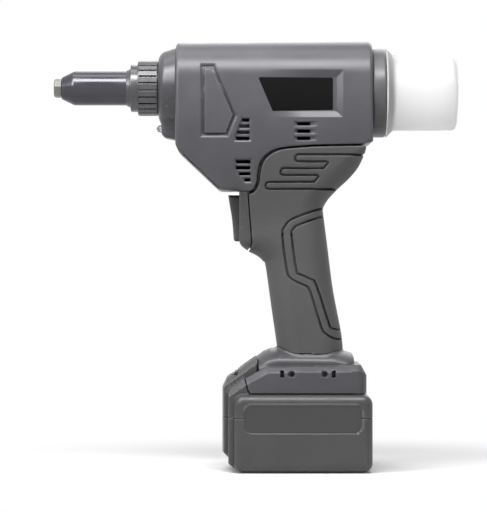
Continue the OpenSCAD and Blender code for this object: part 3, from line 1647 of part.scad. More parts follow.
// Release button in the latch block, with its catch
module latch_button() {
    color(black_plastic) {
        intersection() {
            latch_block();
            block(latch_x, latch_x + latch_l, latch_half_w, pack_h, pack_h + block_h);
        }
        block(latch_x, latch_x + latch_l, latch_half_w, pack_h, pack_h + latch_base_t);
        block(latch_x + latch_l - side_gap, block_rear_x + hook_reach, hook_half_w, hook_z, hook_z + hook_h);
    }
}

module latch_spring() {
    color(bright_steel) translate([latch_x + latch_l / 2, 0, latch_floor_z])
        coil(latch_l / 4, latch_wire_r, 4, latch_spring_l);
}

housing_left();
housing_right();
grip_left();
grip_right();
housing_screws();
nameplate();
front_collar();
work_light_lens();
lock_nut();
nose_sleeve();
nosepiece();
gear_case();
gear_plate();
gear_cover();
case_screws();
nut_bearings();
idler_bushes();
motor_bearings();
guide_rod();
rear_ring();
guide_tube();
motor_can();
motor_magnets();
brush_plate();
trigger_bezel();
switch_body();
control_board();
terminal_block();
terminal_blades();
wiring();
hook_inserts();
rotor_shaft();
rotor_core();
commutator();
cooling_fan();
motor_pinion();
idler_shaft();
idler_gear();
ball_nut();
ball_screw();
pull_adapter();
jaw_case();
jaw_spring();
mandrel_tube();
guide_shoe();
jaws();
jaw_pusher();
trigger();
container();
case_lower();
case_upper();
battery_cells();
cell_holder();
cell_straps();
battery_board();
battery_contacts();
battery_screws();
label_panels();
latch_button();
latch_spring();
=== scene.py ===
# %% [markdown]
# # A battery rivet tool
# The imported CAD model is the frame: sixty solids on ten bodies, in metres, nose toward -X, +Z up.
# This lesson dresses that frame. The big moulded shells are rebuilt as smooth skins, the turned nose parts
# are spun from profiles, what repeats is placed with Geometry Nodes, and every solid that stays gets a
# finish of its own. All sizes below are millimetres, and one factor turns them into Blender's metres.

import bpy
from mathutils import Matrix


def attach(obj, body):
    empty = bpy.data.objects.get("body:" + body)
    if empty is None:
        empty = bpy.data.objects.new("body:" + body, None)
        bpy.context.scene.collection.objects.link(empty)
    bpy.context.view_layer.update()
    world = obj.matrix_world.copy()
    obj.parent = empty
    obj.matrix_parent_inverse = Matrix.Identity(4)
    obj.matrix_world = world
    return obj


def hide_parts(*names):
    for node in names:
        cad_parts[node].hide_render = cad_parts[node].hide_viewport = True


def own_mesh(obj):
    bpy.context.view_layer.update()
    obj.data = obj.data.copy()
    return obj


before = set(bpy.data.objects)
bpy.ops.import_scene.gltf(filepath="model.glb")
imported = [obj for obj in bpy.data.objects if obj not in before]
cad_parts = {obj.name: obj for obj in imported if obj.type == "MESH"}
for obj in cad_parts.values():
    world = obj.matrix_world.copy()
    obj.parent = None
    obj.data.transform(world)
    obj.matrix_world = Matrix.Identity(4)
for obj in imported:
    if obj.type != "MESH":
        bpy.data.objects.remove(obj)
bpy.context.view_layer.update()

import functools
import itertools
import math

import bpy
import numpy as np

MM = 0.001
PULL_Z, CUP_Z = 281.5, 278.0  # heights of the pulling axis and of the container's axis

# %% [markdown]
# ## Camera, light and floor
# The photograph is a level side view from far away, so a long lens 1.8 m out gives its slight perspective.
# A long, narrow soft box above and in front draws the bright roll along the top of the housing. One overhead
# lights what faces up, a small one at the left the collar and nose, and a large one behind the floor and the
# container. The world fills the rest faintly, and shows white. The floor is plain and pale.

# %% Helpers for node trees and objects
def add(tree, kind, inputs=None, **settings):
    """Add one node: settings are its properties, inputs are values, sockets, or nodes for their first output."""
    node = tree.nodes.new(kind)
    for name, value in settings.items():
        setattr(node, name, value)
    for key, value in (inputs or {}).items():
        if isinstance(value, bpy.types.Node):
            value = value.outputs[0]
        if isinstance(value, bpy.types.NodeSocket):
            tree.links.new(value, node.inputs[key])
        else:
            node.inputs[key].default_value = value
    return node


def linear(hex_colour):
    """An sRGB hex colour as linear RGBA."""
    srgb = [int(hex_colour[i:i + 2], 16) / 255 for i in (1, 3, 5)]
    return [c / 12.92 if c <= 0.04045 else ((c + 0.055) / 1.055) ** 2.4 for c in srgb] + [1.0]


def blank_material(name):
    """A new material and its emptied node tree."""
    material = bpy.data.materials.new(name)
    material.use_nodes = True
    material.node_tree.nodes.clear()
    return material, material.node_tree


def in_scene(name, data):
    """A new object in the scene."""
    thing = bpy.data.objects.new(name, data)
    scene.collection.objects.link(thing)
    return thing


# %% Camera and lamps
PHOTO_MM_PER_PX, PHOTO_W_PX, PHOTO_H_PX = 0.74, 487, 512
SENSOR_MM, CAMERA_AWAY, CAMERA_X, CAMERA_Z = 36, 1800.0, -43.3, 157.5

scene = bpy.context.scene
scene.view_settings.view_transform = "Standard"
camera = in_scene("camera", bpy.data.cameras.new("camera"))
camera.location = [c * MM for c in (CAMERA_X, -CAMERA_AWAY, CAMERA_Z)]
camera.rotation_euler = (math.pi / 2, 0, 0)
camera.data.sensor_width = SENSOR_MM
camera.data.lens = SENSOR_MM * CAMERA_AWAY / (PHOTO_MM_PER_PX * PHOTO_H_PX)
camera.data.clip_end = 20
scene.camera = camera

MIDDLE = (-0.04, 0, 0.2)
LAMPS = (  # name, place, aim, width and depth in metres, power in watts
    ("key_lamp", (-0.1, -0.3, 0.65), (-0.04, -0.02, 0.28), 0.75, 0.15, 5.7),
    ("top_lamp", (-0.06, -0.05, 1.0), MIDDLE, 1.0, 0.25, 2.2),
    ("left_lamp", (-0.72, -0.56, 0.7), (-0.1, 0, 0.28), 0.35, 0.35, 4),
    ("back_lamp", (0.4, 1.6, 1.3), MIDDLE, 1.4, 1.4, 10),
)
for name, place, aim, width, depth, power in LAMPS:
    light = bpy.data.lights.new(name, "AREA")
    light.shape, light.size, light.size_y, light.energy = "RECTANGLE", width, depth, power
    lamp = in_scene(name, light)
    lamp.location = place
    away = np.array(place) - np.array(aim)
    lamp.rotation_euler = (math.acos(away[2] / np.linalg.norm(away)), 0, math.atan2(away[0], -away[1]))

# %% World and floor
world = bpy.data.worlds.new("studio")
world.use_nodes = True
scene.world = world
tree = world.node_tree
tree.nodes.clear()


def seen_ray(tree):
    """1 for the rays that show the background: straight from the camera, mirrored, or through clear plastic."""
    path = add(tree, "ShaderNodeLightPath").outputs
    mirrored = add(tree, "ShaderNodeMath", {0: path["Is Camera Ray"], 1: path["Is Glossy Ray"]}, operation="MAXIMUM")
    return add(tree, "ShaderNodeMath", {0: mirrored, 1: path["Is Transmission Ray"]}, operation="MAXIMUM")


WHITE, SKY_FILL, SEEN_WHITE = (1, 1, 1, 1), 0.06, 1.0
sky = add(tree, "ShaderNodeBackground", {"Color": WHITE, "Strength": SKY_FILL})
white = add(tree, "ShaderNodeBackground", {"Color": WHITE, "Strength": SEEN_WHITE})
mixed = add(tree, "ShaderNodeMixShader", {0: seen_ray(tree), 1: sky, 2: white})
add(tree, "ShaderNodeOutputWorld", {"Surface": mixed})

REACH, FLOOR_DROP = 6.0, 0.0004  # metres; the floor lies a hair below the pack
floor_mesh = bpy.data.meshes.new("floor")
floor_mesh.from_pydata([(-REACH, -REACH, 0), (REACH, -REACH, 0), (REACH, REACH, 0), (-REACH, REACH, 0)], [],
                       [(0, 1, 2, 3)])
floor = in_scene("floor", floor_mesh)
floor.location.z = -FLOOR_DROP
paper, tree = blank_material("white_studio_paper")
matt = add(tree, "ShaderNodeBsdfDiffuse", {"Color": linear("#f4f4f4")})
glow = add(tree, "ShaderNodeEmission", {"Color": WHITE, "Strength": SEEN_WHITE})
place = add(tree, "ShaderNodeTexCoord").outputs["Object"]
from_tool = add(tree, "ShaderNodeVectorMath", {0: place, 1: (0.0, 0.05, 0.0)}, operation="DISTANCE")
far = add(tree, "ShaderNodeMapRange", {"Value": from_tool.outputs["Value"], "From Min": 0.05, "From Max": 0.3},
          interpolation_type="SMOOTHSTEP")
shown = add(tree, "ShaderNodeMath", {0: far, 1: seen_ray(tree)}, operation="MULTIPLY")
pick = add(tree, "ShaderNodeMixShader", {0: shown, 1: matt, 2: glow})
add(tree, "ShaderNodeOutputMaterial", {"Surface": pick})
floor_mesh.materials.append(paper)

# %% [markdown]
# ## Finishes
# The housing is glass-filled nylon, moulded in a spark-eroded tool: matt, with a grain that breaks up the
# highlights, and edges a little lighter, partly from wear and partly as a painted highlight; its creases carry
# painted shade. The grip skin is a soft rubber, darker and duller. The nose is black-oxide steel, the container
# frosted polypropylene. Each finish below starts from its material's usual roughness and index and is then matched to
# the photograph.

# %% Moulded and rubber finishes
MOTTLE_MM = 38


def moulded(name, hex_colour, roughness, grain_mm, grain_depth, worn_highlight_hex=None, mottle=0.12, ior=1.5):
    """A moulded plastic or rubber: faint mottling, painted shade darkening its creases and grooves, edges a little
    brighter, partly worn and partly a painted highlight, and grain as bump, coarser than life so that it shows."""
    material, tree = blank_material(name)
    place = add(tree, "ShaderNodeTexCoord").outputs["Object"]
    grain = add(tree, "ShaderNodeTexNoise", {
        "Vector": place, "Scale": 1 / (grain_mm * MM), "Detail": 3.0, "Roughness": 0.6})
    cloud = add(tree, "ShaderNodeTexNoise", {
        "Vector": place, "Scale": 1 / (MOTTLE_MM * MM), "Detail": 4.0, "Roughness": 0.62})
    shade = add(tree, "ShaderNodeMapRange", {
        "Value": cloud, "From Min": 0.3, "From Max": 0.7, "To Min": 1 - mottle, "To Max": 1 + mottle})
    tint = add(tree, "ShaderNodeVectorMath", {0: linear(hex_colour)[:3], "Scale": shade}, operation="SCALE")
    bend = add(tree, "ShaderNodeNewGeometry").outputs["Pointiness"]
    # painted shade: creases and grooves, found by pointiness, are darkened in the colour itself
    painted_groove_shade = add(tree, "ShaderNodeMapRange", {
        "Value": bend, "From Min": 0.41, "From Max": 0.49, "To Min": 0.2, "To Max": 1.0})
    colour = add(tree, "ShaderNodeVectorMath", {0: tint, "Scale": painted_groove_shade}, operation="SCALE")
    if worn_highlight_hex:
        # partly wear and partly a painted highlight: convex edges, found by pointiness, are lightened toward the edge
        # colour
        edge = add(tree, "ShaderNodeMapRange", {
            "Value": bend, "From Min": 0.515, "From Max": 0.58, "To Min": 0.0, "To Max": 0.75})
        worn_and_highlit = add(tree, "ShaderNodeMix", {0: edge, 6: colour, 7: linear(worn_highlight_hex)}, data_type="RGBA")
        colour = worn_and_highlit.outputs[2]
    polish = add(tree, "ShaderNodeMapRange", {
        "Value": cloud, "From Min": 0.3, "From Max": 0.7, "To Min": roughness - 0.06, "To Max": roughness + 0.06})
    bump = add(tree, "ShaderNodeBump", {"Height": grain, "Strength": 0.35, "Distance": grain_depth * MM})
    shader = add(tree, "ShaderNodeBsdfPrincipled", {
        "Base Color": colour, "Roughness": polish, "Normal": bump, "IOR": ior})
    add(tree, "ShaderNodeOutputMaterial", {"Surface": shader})
    return material


housing_nylon = moulded("glass_filled_nylon_spark_grain", "#464549", 0.33, 0.55, 0.12, "#66656a", 0.12, 1.43)
collar_nylon = moulded("glass_filled_nylon_collar", "#3d3c40", 0.32, 0.55, 0.08, "#66656a")
grip_rubber = moulded("soft_grip_rubber", "#434344", 0.54, 0.45, 0.10, "#59595a")
trigger_nylon = moulded("moulded_trigger_nylon", "#3a3a3b", 0.45, 0.5, 0.08, "#58585a")
pack_nylon = moulded("moulded_pack_nylon", "#3d3d3e", 0.4, 0.55, 0.10, "#5b5b5e")
ring_nylon = moulded("moulded_ring_nylon", "#4a4a4c", 0.36, 0.5, 0.08, "#6b6b6e")
plate_acrylic = moulded("satin_black_acrylic_plate", "#060606", 0.5, 0.3, 0.02, None, 0.05, 1.17)
label_film = moulded("matt_label_film", "#363637", 0.45, 0.3, 0.03, None, 0.05)
black_plastic = moulded("black_moulded_plastic", "#1f1f22", 0.45, 0.5, 0.06, "#4a4a4e")


# %% [markdown]
# Machined metal shows the lathe: fine rings round the axis, drawn here as a stretched noise that changes
# quickly along X. Black oxide keeps that under a dark satin skin.

# %% Metal finishes
TARNISH_MM = 14


def machined(name, hex_colour, roughness, metallic=1.0, turn_mm=0.35, depth=0.02):
    """A turned metal: tool marks run round the X axis, coarser than life so that they show."""
    material, tree = blank_material(name)
    place = add(tree, "ShaderNodeTexCoord").outputs["Object"]
    along = add(tree, "ShaderNodeMapping", {"Vector": place, "Scale": (1 / (turn_mm * MM), 12, 12)})
    marks = add(tree, "ShaderNodeTexNoise", {"Vector": along, "Scale": 1.0, "Detail": 3.0})
    cloud = add(tree, "ShaderNodeTexNoise", {"Vector": place, "Scale": 1 / (TARNISH_MM * MM), "Detail": 4.0})
    polish = add(tree, "ShaderNodeMapRange", {
        "Value": cloud, "From Min": 0.3, "From Max": 0.7, "To Min": roughness - 0.05, "To Max": roughness + 0.07})
    shade = add(tree, "ShaderNodeMapRange", {
        "Value": cloud, "From Min": 0.25, "From Max": 0.75, "To Min": 0.88, "To Max": 1.12})
    tint = add(tree, "ShaderNodeVectorMath", {0: linear(hex_colour)[:3], "Scale": shade}, operation="SCALE")
    bump = add(tree, "ShaderNodeBump", {"Height": marks, "Strength": 0.25, "Distance": depth * MM})
    shader = add(tree, "ShaderNodeBsdfPrincipled", {
        "Base Color": tint, "Roughness": polish, "Metallic": metallic, "Normal": bump})
    add(tree, "ShaderNodeOutputMaterial", {"Surface": shader})
    return material


black_oxide = machined("black_oxide_steel", "#46464b", 0.2, 0.7)
black_flutes = machined("black_oxide_lock_nut", "#58585a", 0.25, 0.75)
bright_steel = machined("ground_steel", "#b9bbbe", 0.28)
grey_steel = machined("worn_nosepiece_steel", "#74756f", 0.36, 0.8)
cast_aluminium = machined("chromated_die_casting", "#5e6063", 0.5, 1.0, 2.0, 0.05)
brass = machined("burnished_brass", "#6d5a2e", 0.4)
copper = machined("drawn_copper", "#b0693c", 0.35)

# %% [markdown]
# The container is frosted polypropylene: light goes in, scatters and comes out again, so it looks almost white
# with a soft edge. The lamp's lens is clear acrylic, left glossy. Boards and cells get plain moulded finishes.

# %% Clear finishes
def frosted(name, hex_colour, roughness, clear, grain_mm=0.6):
    """A translucent moulding: part plastic that scatters, part rough transmission."""
    material, tree = blank_material(name)
    place = add(tree, "ShaderNodeTexCoord").outputs["Object"]
    frost = add(tree, "ShaderNodeTexNoise", {"Vector": place, "Scale": 1 / (grain_mm * MM), "Detail": 3.0})
    bump = add(tree, "ShaderNodeBump", {"Height": frost, "Strength": 0.2, "Distance": 0.05 * MM})
    shader = add(tree, "ShaderNodeBsdfPrincipled", {
        "Base Color": linear(hex_colour), "Roughness": roughness, "IOR": 1.49, "Transmission Weight": clear,
        "Normal": bump})
    add(tree, "ShaderNodeOutputMaterial", {"Surface": shader})
    return material


frosted_cup = frosted("frosted_polypropylene", "#f3f3f3", 0.55, 0.9)
clear_lens = frosted("clear_lamp_acrylic", "#f2f4f6", 0.12, 0.8, 1.2)
board_mask = moulded("green_solder_mask", "#24543a", 0.35, 1.5, 0.02)
cell_wrap = moulded("blue_shrink_wrap", "#2f5f9e", 0.3, 2.0, 0.03)
print("finishes", len(bpy.data.materials))

# %% [markdown]
# ## How a moulded shell is made
# A moulding tool gives every edge a radius, and its faces run into each other without a seam. Boolean cuts and
# bevels would need a rescue at each crossing, so these shells are written as a distance instead: a function that
# is negative inside the plastic, zero on its skin and positive outside. Two such functions joined with a rounded
# maximum give a rounded edge, with a rounded minimum a fillet. The skin is then read off a fine lattice with
# surface nets, and every vertex is pulled onto the exact surface, which also gives exact normals.

# %% Distances that join with radii
DIAGONAL = 0.7071  # turns the sum of two distances at right angles into a chamfer's distance


def both(*parts):
    """Where all parts hold, with sharp edges."""
    return functools.reduce(np.maximum, parts)


def either(*parts):
    """Where any part holds, with sharp corners."""
    return functools.reduce(np.minimum, parts)


def round_cut(a, b, r):
    """Where both a and b hold, with an edge radius r."""
    return np.minimum(np.maximum(a, b), -r) + np.hypot(np.maximum(a + r, 0), np.maximum(b + r, 0))


def round_join(a, b, r):
    """Where a or b holds, with a fillet r in the corner between them."""
    return np.maximum(np.minimum(a, b), r) - np.hypot(np.maximum(r - a, 0), np.maximum(r - b, 0))


def ease(low, high, value):
    """0 below low, 1 above high and a smooth rise between."""
    t = np.clip((value - low) / (high - low), 0, 1)
    return t * t * (3 - 2 * t)


def rounded_box(u, v, half_u, half_v, r):
    """Distance to a rounded rectangle about the middle."""
    qu, qv = np.abs(u) - half_u + r, np.abs(v) - half_v + r
    return np.hypot(np.maximum(qu, 0), np.maximum(qv, 0)) + np.minimum(np.maximum(qu, qv), 0) - r


def curve(points, steps=6):
    """A smooth line through points, with steps stretches between neighbours."""
    p = [np.array(q, float) for q in [points[0], *points, points[-1]]]
    line = []
    for a, b, c, d in zip(p, p[1:], p[2:], p[3:]):
        for t in np.arange(steps) / steps:
            line.append(tuple(0.5 * (2 * b + (c - a) * t + (2 * a - 5 * b + 4 * c - d) * t ** 2
                                     + (3 * b - 3 * c + d - a) * t ** 3)))
    return line + [tuple(points[-1])]


def trail(points, x, z):
    """Distance to an open line in side view."""
    x, z = np.broadcast_arrays(x, z)
    near = np.full(x.shape, 1e6, x.dtype)
    for (ax, az), (bx, bz) in zip(points, points[1:]):
        dx, dz = bx - ax, bz - az
        t = np.clip(((x - ax) * dx + (z - az) * dz) / (dx * dx + dz * dz), 0, 1)
        near = np.minimum(near, (x - ax - t * dx) ** 2 + (z - az - t * dz) ** 2)
    return np.sqrt(near)


def outline(points, x, z):
    """Distance to a closed outline in side view, negative inside."""
    loop = [*points, points[0]]
    x, z = np.broadcast_arrays(x, z)
    inside = np.zeros(x.shape, bool)
    for (ax, az), (bx, bz) in zip(loop, loop[1:]):
        if az != bz:
            inside ^= ((az > z) != (bz > z)) & (x < ax + (z - az) * (bx - ax) / (bz - az))
    return np.where(inside, -1, 1) * trail(loop, x, z)


def chart(draw, low, high, step=0.25):
    """A side-view function drawn once on a fine grid; the copy is read off by straight interpolation."""
    across, upward = (np.arange(a, b + step, step, dtype=np.float32) for a, b in zip(low, high))
    table = np.asarray(draw(across[:, None], upward[None, :]), np.float32)

    def read(x, z):
        u = np.clip((x - low[0]) / step, 0, len(across) - 1.01)
        v = np.clip((z - low[1]) / step, 0, len(upward) - 1.01)
        i, j = u.astype(np.int32), v.astype(np.int32)
        u, v = u - i, v - j
        return ((1 - u) * ((1 - v) * table[i, j] + v * table[i, j + 1])
                + u * ((1 - v) * table[i + 1, j] + v * table[i + 1, j + 1]))
    return read


def outline_chart(points, low, high):
    """The chart of a closed outline."""
    return chart(lambda x, z: outline(points, x, z), low, high)


# %% Surface nets
CORNERS = np.array(list(itertools.product((0, 1), repeat=3)))
EDGES = [(a, b) for a in range(8) for b in range(a + 1, 8) if np.abs(CORNERS[a] - CORNERS[b]).sum() == 1]
COARSE = 1.0
PULLS, LONGEST_PULL = 2, 0.6  # how often a vertex is pulled to the surface, and how far, in lattice steps


def slope(field, at, h):
    """Gradient of a distance function at scattered points."""
    rows = []
    for axis in range(3):
        ahead, behind = at.copy(), at.copy()
        ahead[:, axis] += h
        behind[:, axis] -= h
        rows.append((field(*ahead.T) - field(*behind.T)) / (2 * h))
    return np.stack(rows, 1)


def skin(field, low, high, step):
    """Vertices, quads and normals of the surface where field is 0, inside the box from low to high.

    step is the lattice's spacing, one number or one for each axis."""
    step = np.ones(3) * step * COARSE
    fine = step.min()
    axes = [np.arange(a - 2 * s, b + 3 * s, s, dtype=np.float32) for a, b, s in zip(low, high, step)]
    value = field(*np.meshgrid(*axes, indexing="ij", sparse=True))
    solid = value < 0
    nx, ny, nz = (n - 1 for n in value.shape)
    count = sum(solid[i:nx + i, j:ny + j, k:nz + k].astype(np.uint8) for i, j, k in CORNERS)
    active = (count > 0) & (count < 8)
    cells = np.argwhere(active)
    number = np.full(active.shape, -1, np.int32)
    number[active] = np.arange(len(cells))
    at_corner = np.stack([value[tuple((cells + c).T)] for c in CORNERS], 1)
    total, hits = np.zeros((len(cells), 3)), np.zeros(len(cells))
    for a, b in EDGES:
        va, vb = at_corner[:, a], at_corner[:, b]
        cross = (va < 0) != (vb < 0)
        t = np.where(cross, va / np.where(cross, va - vb, 1), 0)[:, None]
        total += cross[:, None] * (CORNERS[a] + t * (CORNERS[b] - CORNERS[a]))
        hits += cross
    points = np.array([a[0] for a in axes]) + (cells + total / hits[:, None]) * step
    quads = []
    for axis in range(3):
        u, v = (axis + 1) % 3, (axis + 2) % 3
        near = np.take(solid, range(solid.shape[axis] - 1), axis)
        far = np.take(solid, range(1, solid.shape[axis]), axis)
        at = np.argwhere(near != far)
        at = at[(at[:, u] > 0) & (at[:, v] > 0) & (at[:, u] < number.shape[u]) & (at[:, v] < number.shape[v])]
        ring = []
        for du, dv in ((1, 1), (0, 1), (0, 0), (1, 0)):
            cell = at.copy()
            cell[:, u] -= du
            cell[:, v] -= dv
            ring.append(number[tuple(cell.T)])
        ring = np.stack(ring, 1)
        outward = near[tuple(at.T)]
        ring[~outward] = ring[~outward][:, ::-1]
        quads.append(ring)
    for _ in range(PULLS):
        pull = slope(field, points, 0.12 * fine)
        size = np.maximum((pull ** 2).sum(1), 0.2)
        move = (field(*points.T) / size)[:, None] * pull
        points -= np.clip(move, -LONGEST_PULL * step, LONGEST_PULL * step)
    normals = slope(field, points, 0.2 * fine)
    normals /= np.maximum(np.linalg.norm(normals, axis=1), 1e-6)[:, None]
    return points, np.concatenate(quads), normals


def as_object(name, points, faces, normals, material):
    """A smooth mesh object from millimetre points, equal-sided faces and vertex normals."""
    mesh = bpy.data.meshes.new(name)
    sides = faces.shape[1]
    mesh.vertices.add(len(points))
    mesh.vertices.foreach_set("co", (points * MM).astype(np.float32).ravel())
    mesh.loops.add(faces.size)
    mesh.loops.foreach_set("vertex_index", faces.astype(np.int32).ravel())
    mesh.polygons.add(len(faces))
    mesh.polygons.foreach_set("loop_start", np.arange(0, faces.size, sides, dtype=np.int32))
    mesh.polygons.foreach_set("use_smooth", np.ones(len(faces), bool))
    mesh.update(calc_edges=True)
    mesh.validate()
    mesh.normals_split_custom_set_from_vertices(normals.astype(np.float32).tolist())
    mesh.materials.append(material)
    return in_scene(name, mesh)


def fitted(piece, body, node):
    """Let a piece ride on its body in place of its CAD solid, which is hidden."""
    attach(piece, body)
    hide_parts(node)


def moulding(name, field, low, high, step, material, body, node):
    """One moulded piece from its distance function."""
    points, faces, normals = skin(field, low, high, step)
    fitted(as_object(name, points, faces, normals, material), body, node)
    print(name, len(points), "points", len(faces), "faces, box", np.round(points.min(0), 1), np.round(points.max(0), 1))


# %% [markdown]
# ## The housing's outside
# Seen from the side, body, chin and handle are one outline. Across it, the half width follows a long arc that is
# widest just under the pulling axis, and below the chin it settles to the handle's own width. Top, ends, chin
# and handle only differ in the radius with which the sides turn into the outline.

# %% Outline and widths of the housing
SIDE_MM_PER_PX, GRIP_MM_PER_PX = 0.7262, 0.731


def on_side(px, py, mm_per_px=SIDE_MM_PER_PX):
    """A point that the photograph shows on the tool's side, as x and z."""
    return CAMERA_X + (px - PHOTO_W_PX / 2) * mm_per_px, CAMERA_Z + (PHOTO_H_PX / 2 - py) * mm_per_px


def on_grip(px, py):
    """The same for the handle, whose side lies farther from the camera."""
    return on_side(px, py, GRIP_MM_PER_PX)


BODY_FRONT, BODY_REAR, ABOVE_ALL = -93.0, 51.0, 345
CHIN = [(-93, 242), (-92.9, 238.8), (-90.6, 233.6), (-61.9, 206.5), (-59.4, 205.3), (-56.8, 205), (-47.9, 205)]
HANDLE_FRONT = [(-46.8, 204.6), (-46.8, 172), (-46.6, 168), (-45, 164.8), (-40.3, 161.2), (-35.5, 158.9),
                (-31.9, 156.7), (-28.9, 153.7), (-26.9, 149.7), (-22.9, 121), (-18.5, 90.2), (-16.5, 70)]
HANDLE_REAR = [(30.6, 70), (30, 89.3), (28.6, 102.1), (25.2, 119.5), (22.1, 136.9), (18.6, 165), (15.9, 186),
               (15.4, 192.4), (19.2, 199.3), (26.6, 207.2), (34.2, 214.3), (41, 222.8), (45.4, 233), (46.3, 238.6),
               (48.4, 239.6), (51, 241)]
SIDE_OUTLINE = [(BODY_FRONT, ABOVE_ALL), *CHIN, *curve(HANDLE_FRONT, 4), *curve(HANDLE_REAR, 4),
                (BODY_REAR, ABOVE_ALL)]
side_line = outline_chart(SIDE_OUTLINE, (-98, 55), (56, 322))

BODY_HALF_W, WIDEST_Z, SIDE_BOW = 36, 260.5, 282
HANDLE_HALF_W, WAIST_Z, HANDLE_FLARE = 19.8, 140, 0.00042
WIDTH_BLEND = 9
ROOF_Z, ROOF_RISE, ROLL_R = 314.3, 0.0075, 26


def half_width(z):
    """Half width of body, chin and handle at a height."""
    body = BODY_HALF_W - (z - WIDEST_Z) ** 2 / SIDE_BOW
    handle = HANDLE_HALF_W + HANDLE_FLARE * (z - WAIST_Z) ** 2
    near = np.maximum(WIDTH_BLEND - np.abs(body - handle), 0) / WIDTH_BLEND
    return np.maximum(body, handle) + near * near * WIDTH_BLEND / 4


def edge_radius(x, z):
    """Radius between side and outline: small round body and chin, large round the handle."""
    return 3 + 11 * ease(-52, -22, x) * (1 - ease(226, 239, z)) + 3 * ease(-60, -48, x) * (1 - ease(200, 208, z))


def upper_form(x, y, z):
    """Body, chin and handle."""
    lean = half_width(z + 0.5) - half_width(z - 0.5)
    side = (np.abs(y) - half_width(z)) / np.sqrt(1 + lean * lean)
    top = z - ROOF_Z - (x - BODY_FRONT) * ROOF_RISE
    return round_cut(round_cut(side, top, ROLL_R), side_line(x, z), edge_radius(x, z))


RIM = [(-70, 53.1), (-42.2, 68.1), (-26.2, 76.7), (33, 77.2), (37.5, 78.4), (42.2, 78.4), (46, 76.2), (60, 66),
       (60, 40), (-70, 40)]
RIM_FRONT = [(-30, 40), (-37.4, 56.6), (-39.6, 59.4), (-40.8, 63.7), (-43, 72), (-43, 100), (70, 100), (70, 40)]
PLATEAU = [(-33.5, 50), (-33.5, 83.6), (-28.8, 87.2), (-24.1, 89.2), (-19, 90), (22, 89.6), (36.4, 86), (38.1, 84),
           (38.2, 50)]
rim_line = outline_chart(RIM, (-64, 50), (56, 100))
rim_front = outline_chart(RIM_FRONT, (-64, 50), (56, 98))
plateau_line = outline_chart(PLATEAU, (-64, 50), (56, 110))
RIM_MID_X, RIM_HALF_L, RIM_HALF_W, RIM_LOW, RIM_CHAMFER = -7.25, 53.75, 33, 57.2, 4.2
PLATEAU_MID_X, PLATEAU_HALF_L, PLATEAU_HALF_W, PLATEAU_LOW, CROWN = -6, 44.2, 24.8, 60, 9
FOOT_CORNER_R, HANDLE_LOW, FOOT_FILLET = 8, 78, 1.8


def bowed(x, y):
    """x with the bow of the joint between foot and latch block taken out, so that no light passes it."""
    return x - 1.2 * (y / 22) ** 2


def foot_form(x, y, z):
    """The foot: a rim over the pack with a sloped upper edge, and a crowned plateau that carries the handle."""
    plan = rounded_box(x - RIM_MID_X, y, RIM_HALF_L, RIM_HALF_W, FOOT_CORNER_R)
    height = rim_line(x, z)
    rim = both(round_cut(plan, height, 0.8), (plan + height + RIM_CHAMFER) * DIAGONAL)
    rim = round_cut(round_cut(rim, rim_front(x, z), 0.4), RIM_LOW - z, 0.4)
    plan = rounded_box(x - PLATEAU_MID_X, y, PLATEAU_HALF_L, PLATEAU_HALF_W, FOOT_CORNER_R)
    crown = CROWN * (np.abs(y) / PLATEAU_HALF_W) ** 3
    plateau = round_cut(plan, plateau_line(bowed(x, y), z + crown), 2.0)
    return round_join(rim, both(plateau, PLATEAU_LOW - z), 0.8)


def tool_form(x, y, z):
    """The housing's outside with its grips on."""
    return round_join(both(upper_form(x, y, z), HANDLE_LOW - z), foot_form(x, y, z), FOOT_FILLET)


# %% [markdown]
# ## Grooves, panel, vents and seats
# The side carries a five-sided panel, three groups of air slots, a shallow stepped frame round the bare plate and
# a fine line along the chin. They are drawn as depths in side view, which sink the skin along its normal; only
# the slots go right through.

# %% Depths in side view
PANEL = [on_side(*p) for p in ((199.6, 62.9), (215.4, 62.9), (238.2, 115.4), (229, 137.7), (199.6, 137.7))]
PANEL_BEVEL, PANEL_GROOVE_IN, PANEL_SUNK = 1.9, 2.65, 0.2
CHIN_LINE = [(-86.6, 231.5), (-61.2, 207.6)]
PLATE = [on_side(*p) for p in ((260.2, 78.4), (331.6, 78.6), (331.6, 108.3), (273.6, 109.6))]
PLATE_CORNER = 1.0
PLATE_FRAME = [on_side(*p) for p in ((249, 69.8), (343.4, 69.8), (343.4, 117.6), (262, 117.6))]
FRONT_SLOTS = [(241.8, 249.2, 120.3), (239.2, 249.2, 126.3), (237, 249.2, 132.4), (236, 249.2, 138.4),
               (236.2, 250.3, 161.5), (236.2, 250.3, 167.5), (239.4, 250.3, 173.5), (244.6, 250.3, 179.5)]
REAR_SLOTS = [(297.4, 310.2, 123.8), (297.4, 310.2, 131.2), (297.4, 310.2, 138.4)]
SLOT_HALF_H, RAMP_END_PX = 1.15, 318
SLOT_FRAMES = [[on_side(*p) for p in frame_px] for frame_px in (
    ((242, 117.4), (251, 117.4), (251, 141.2), (234, 141.2), (234, 136)),
    ((234.4, 158.6), (252, 158.6), (252, 182.6), (244.5, 182.6), (234.4, 171)))]


def groove(distance, half_w, depth, soft=0.45):
    """Depth of a moulded groove at a distance from its middle line."""
    return depth * (1 - ease(half_w - soft, half_w + soft, distance))


def plate_depth(x, z):
    """Depth of the frame round the bare plate: bevelled at its edges, and running out toward the nose."""
    return np.clip(-outline(PLATE_FRAME, x, z) * 0.5, 0, 2.5) * ease(-34, 12, x)


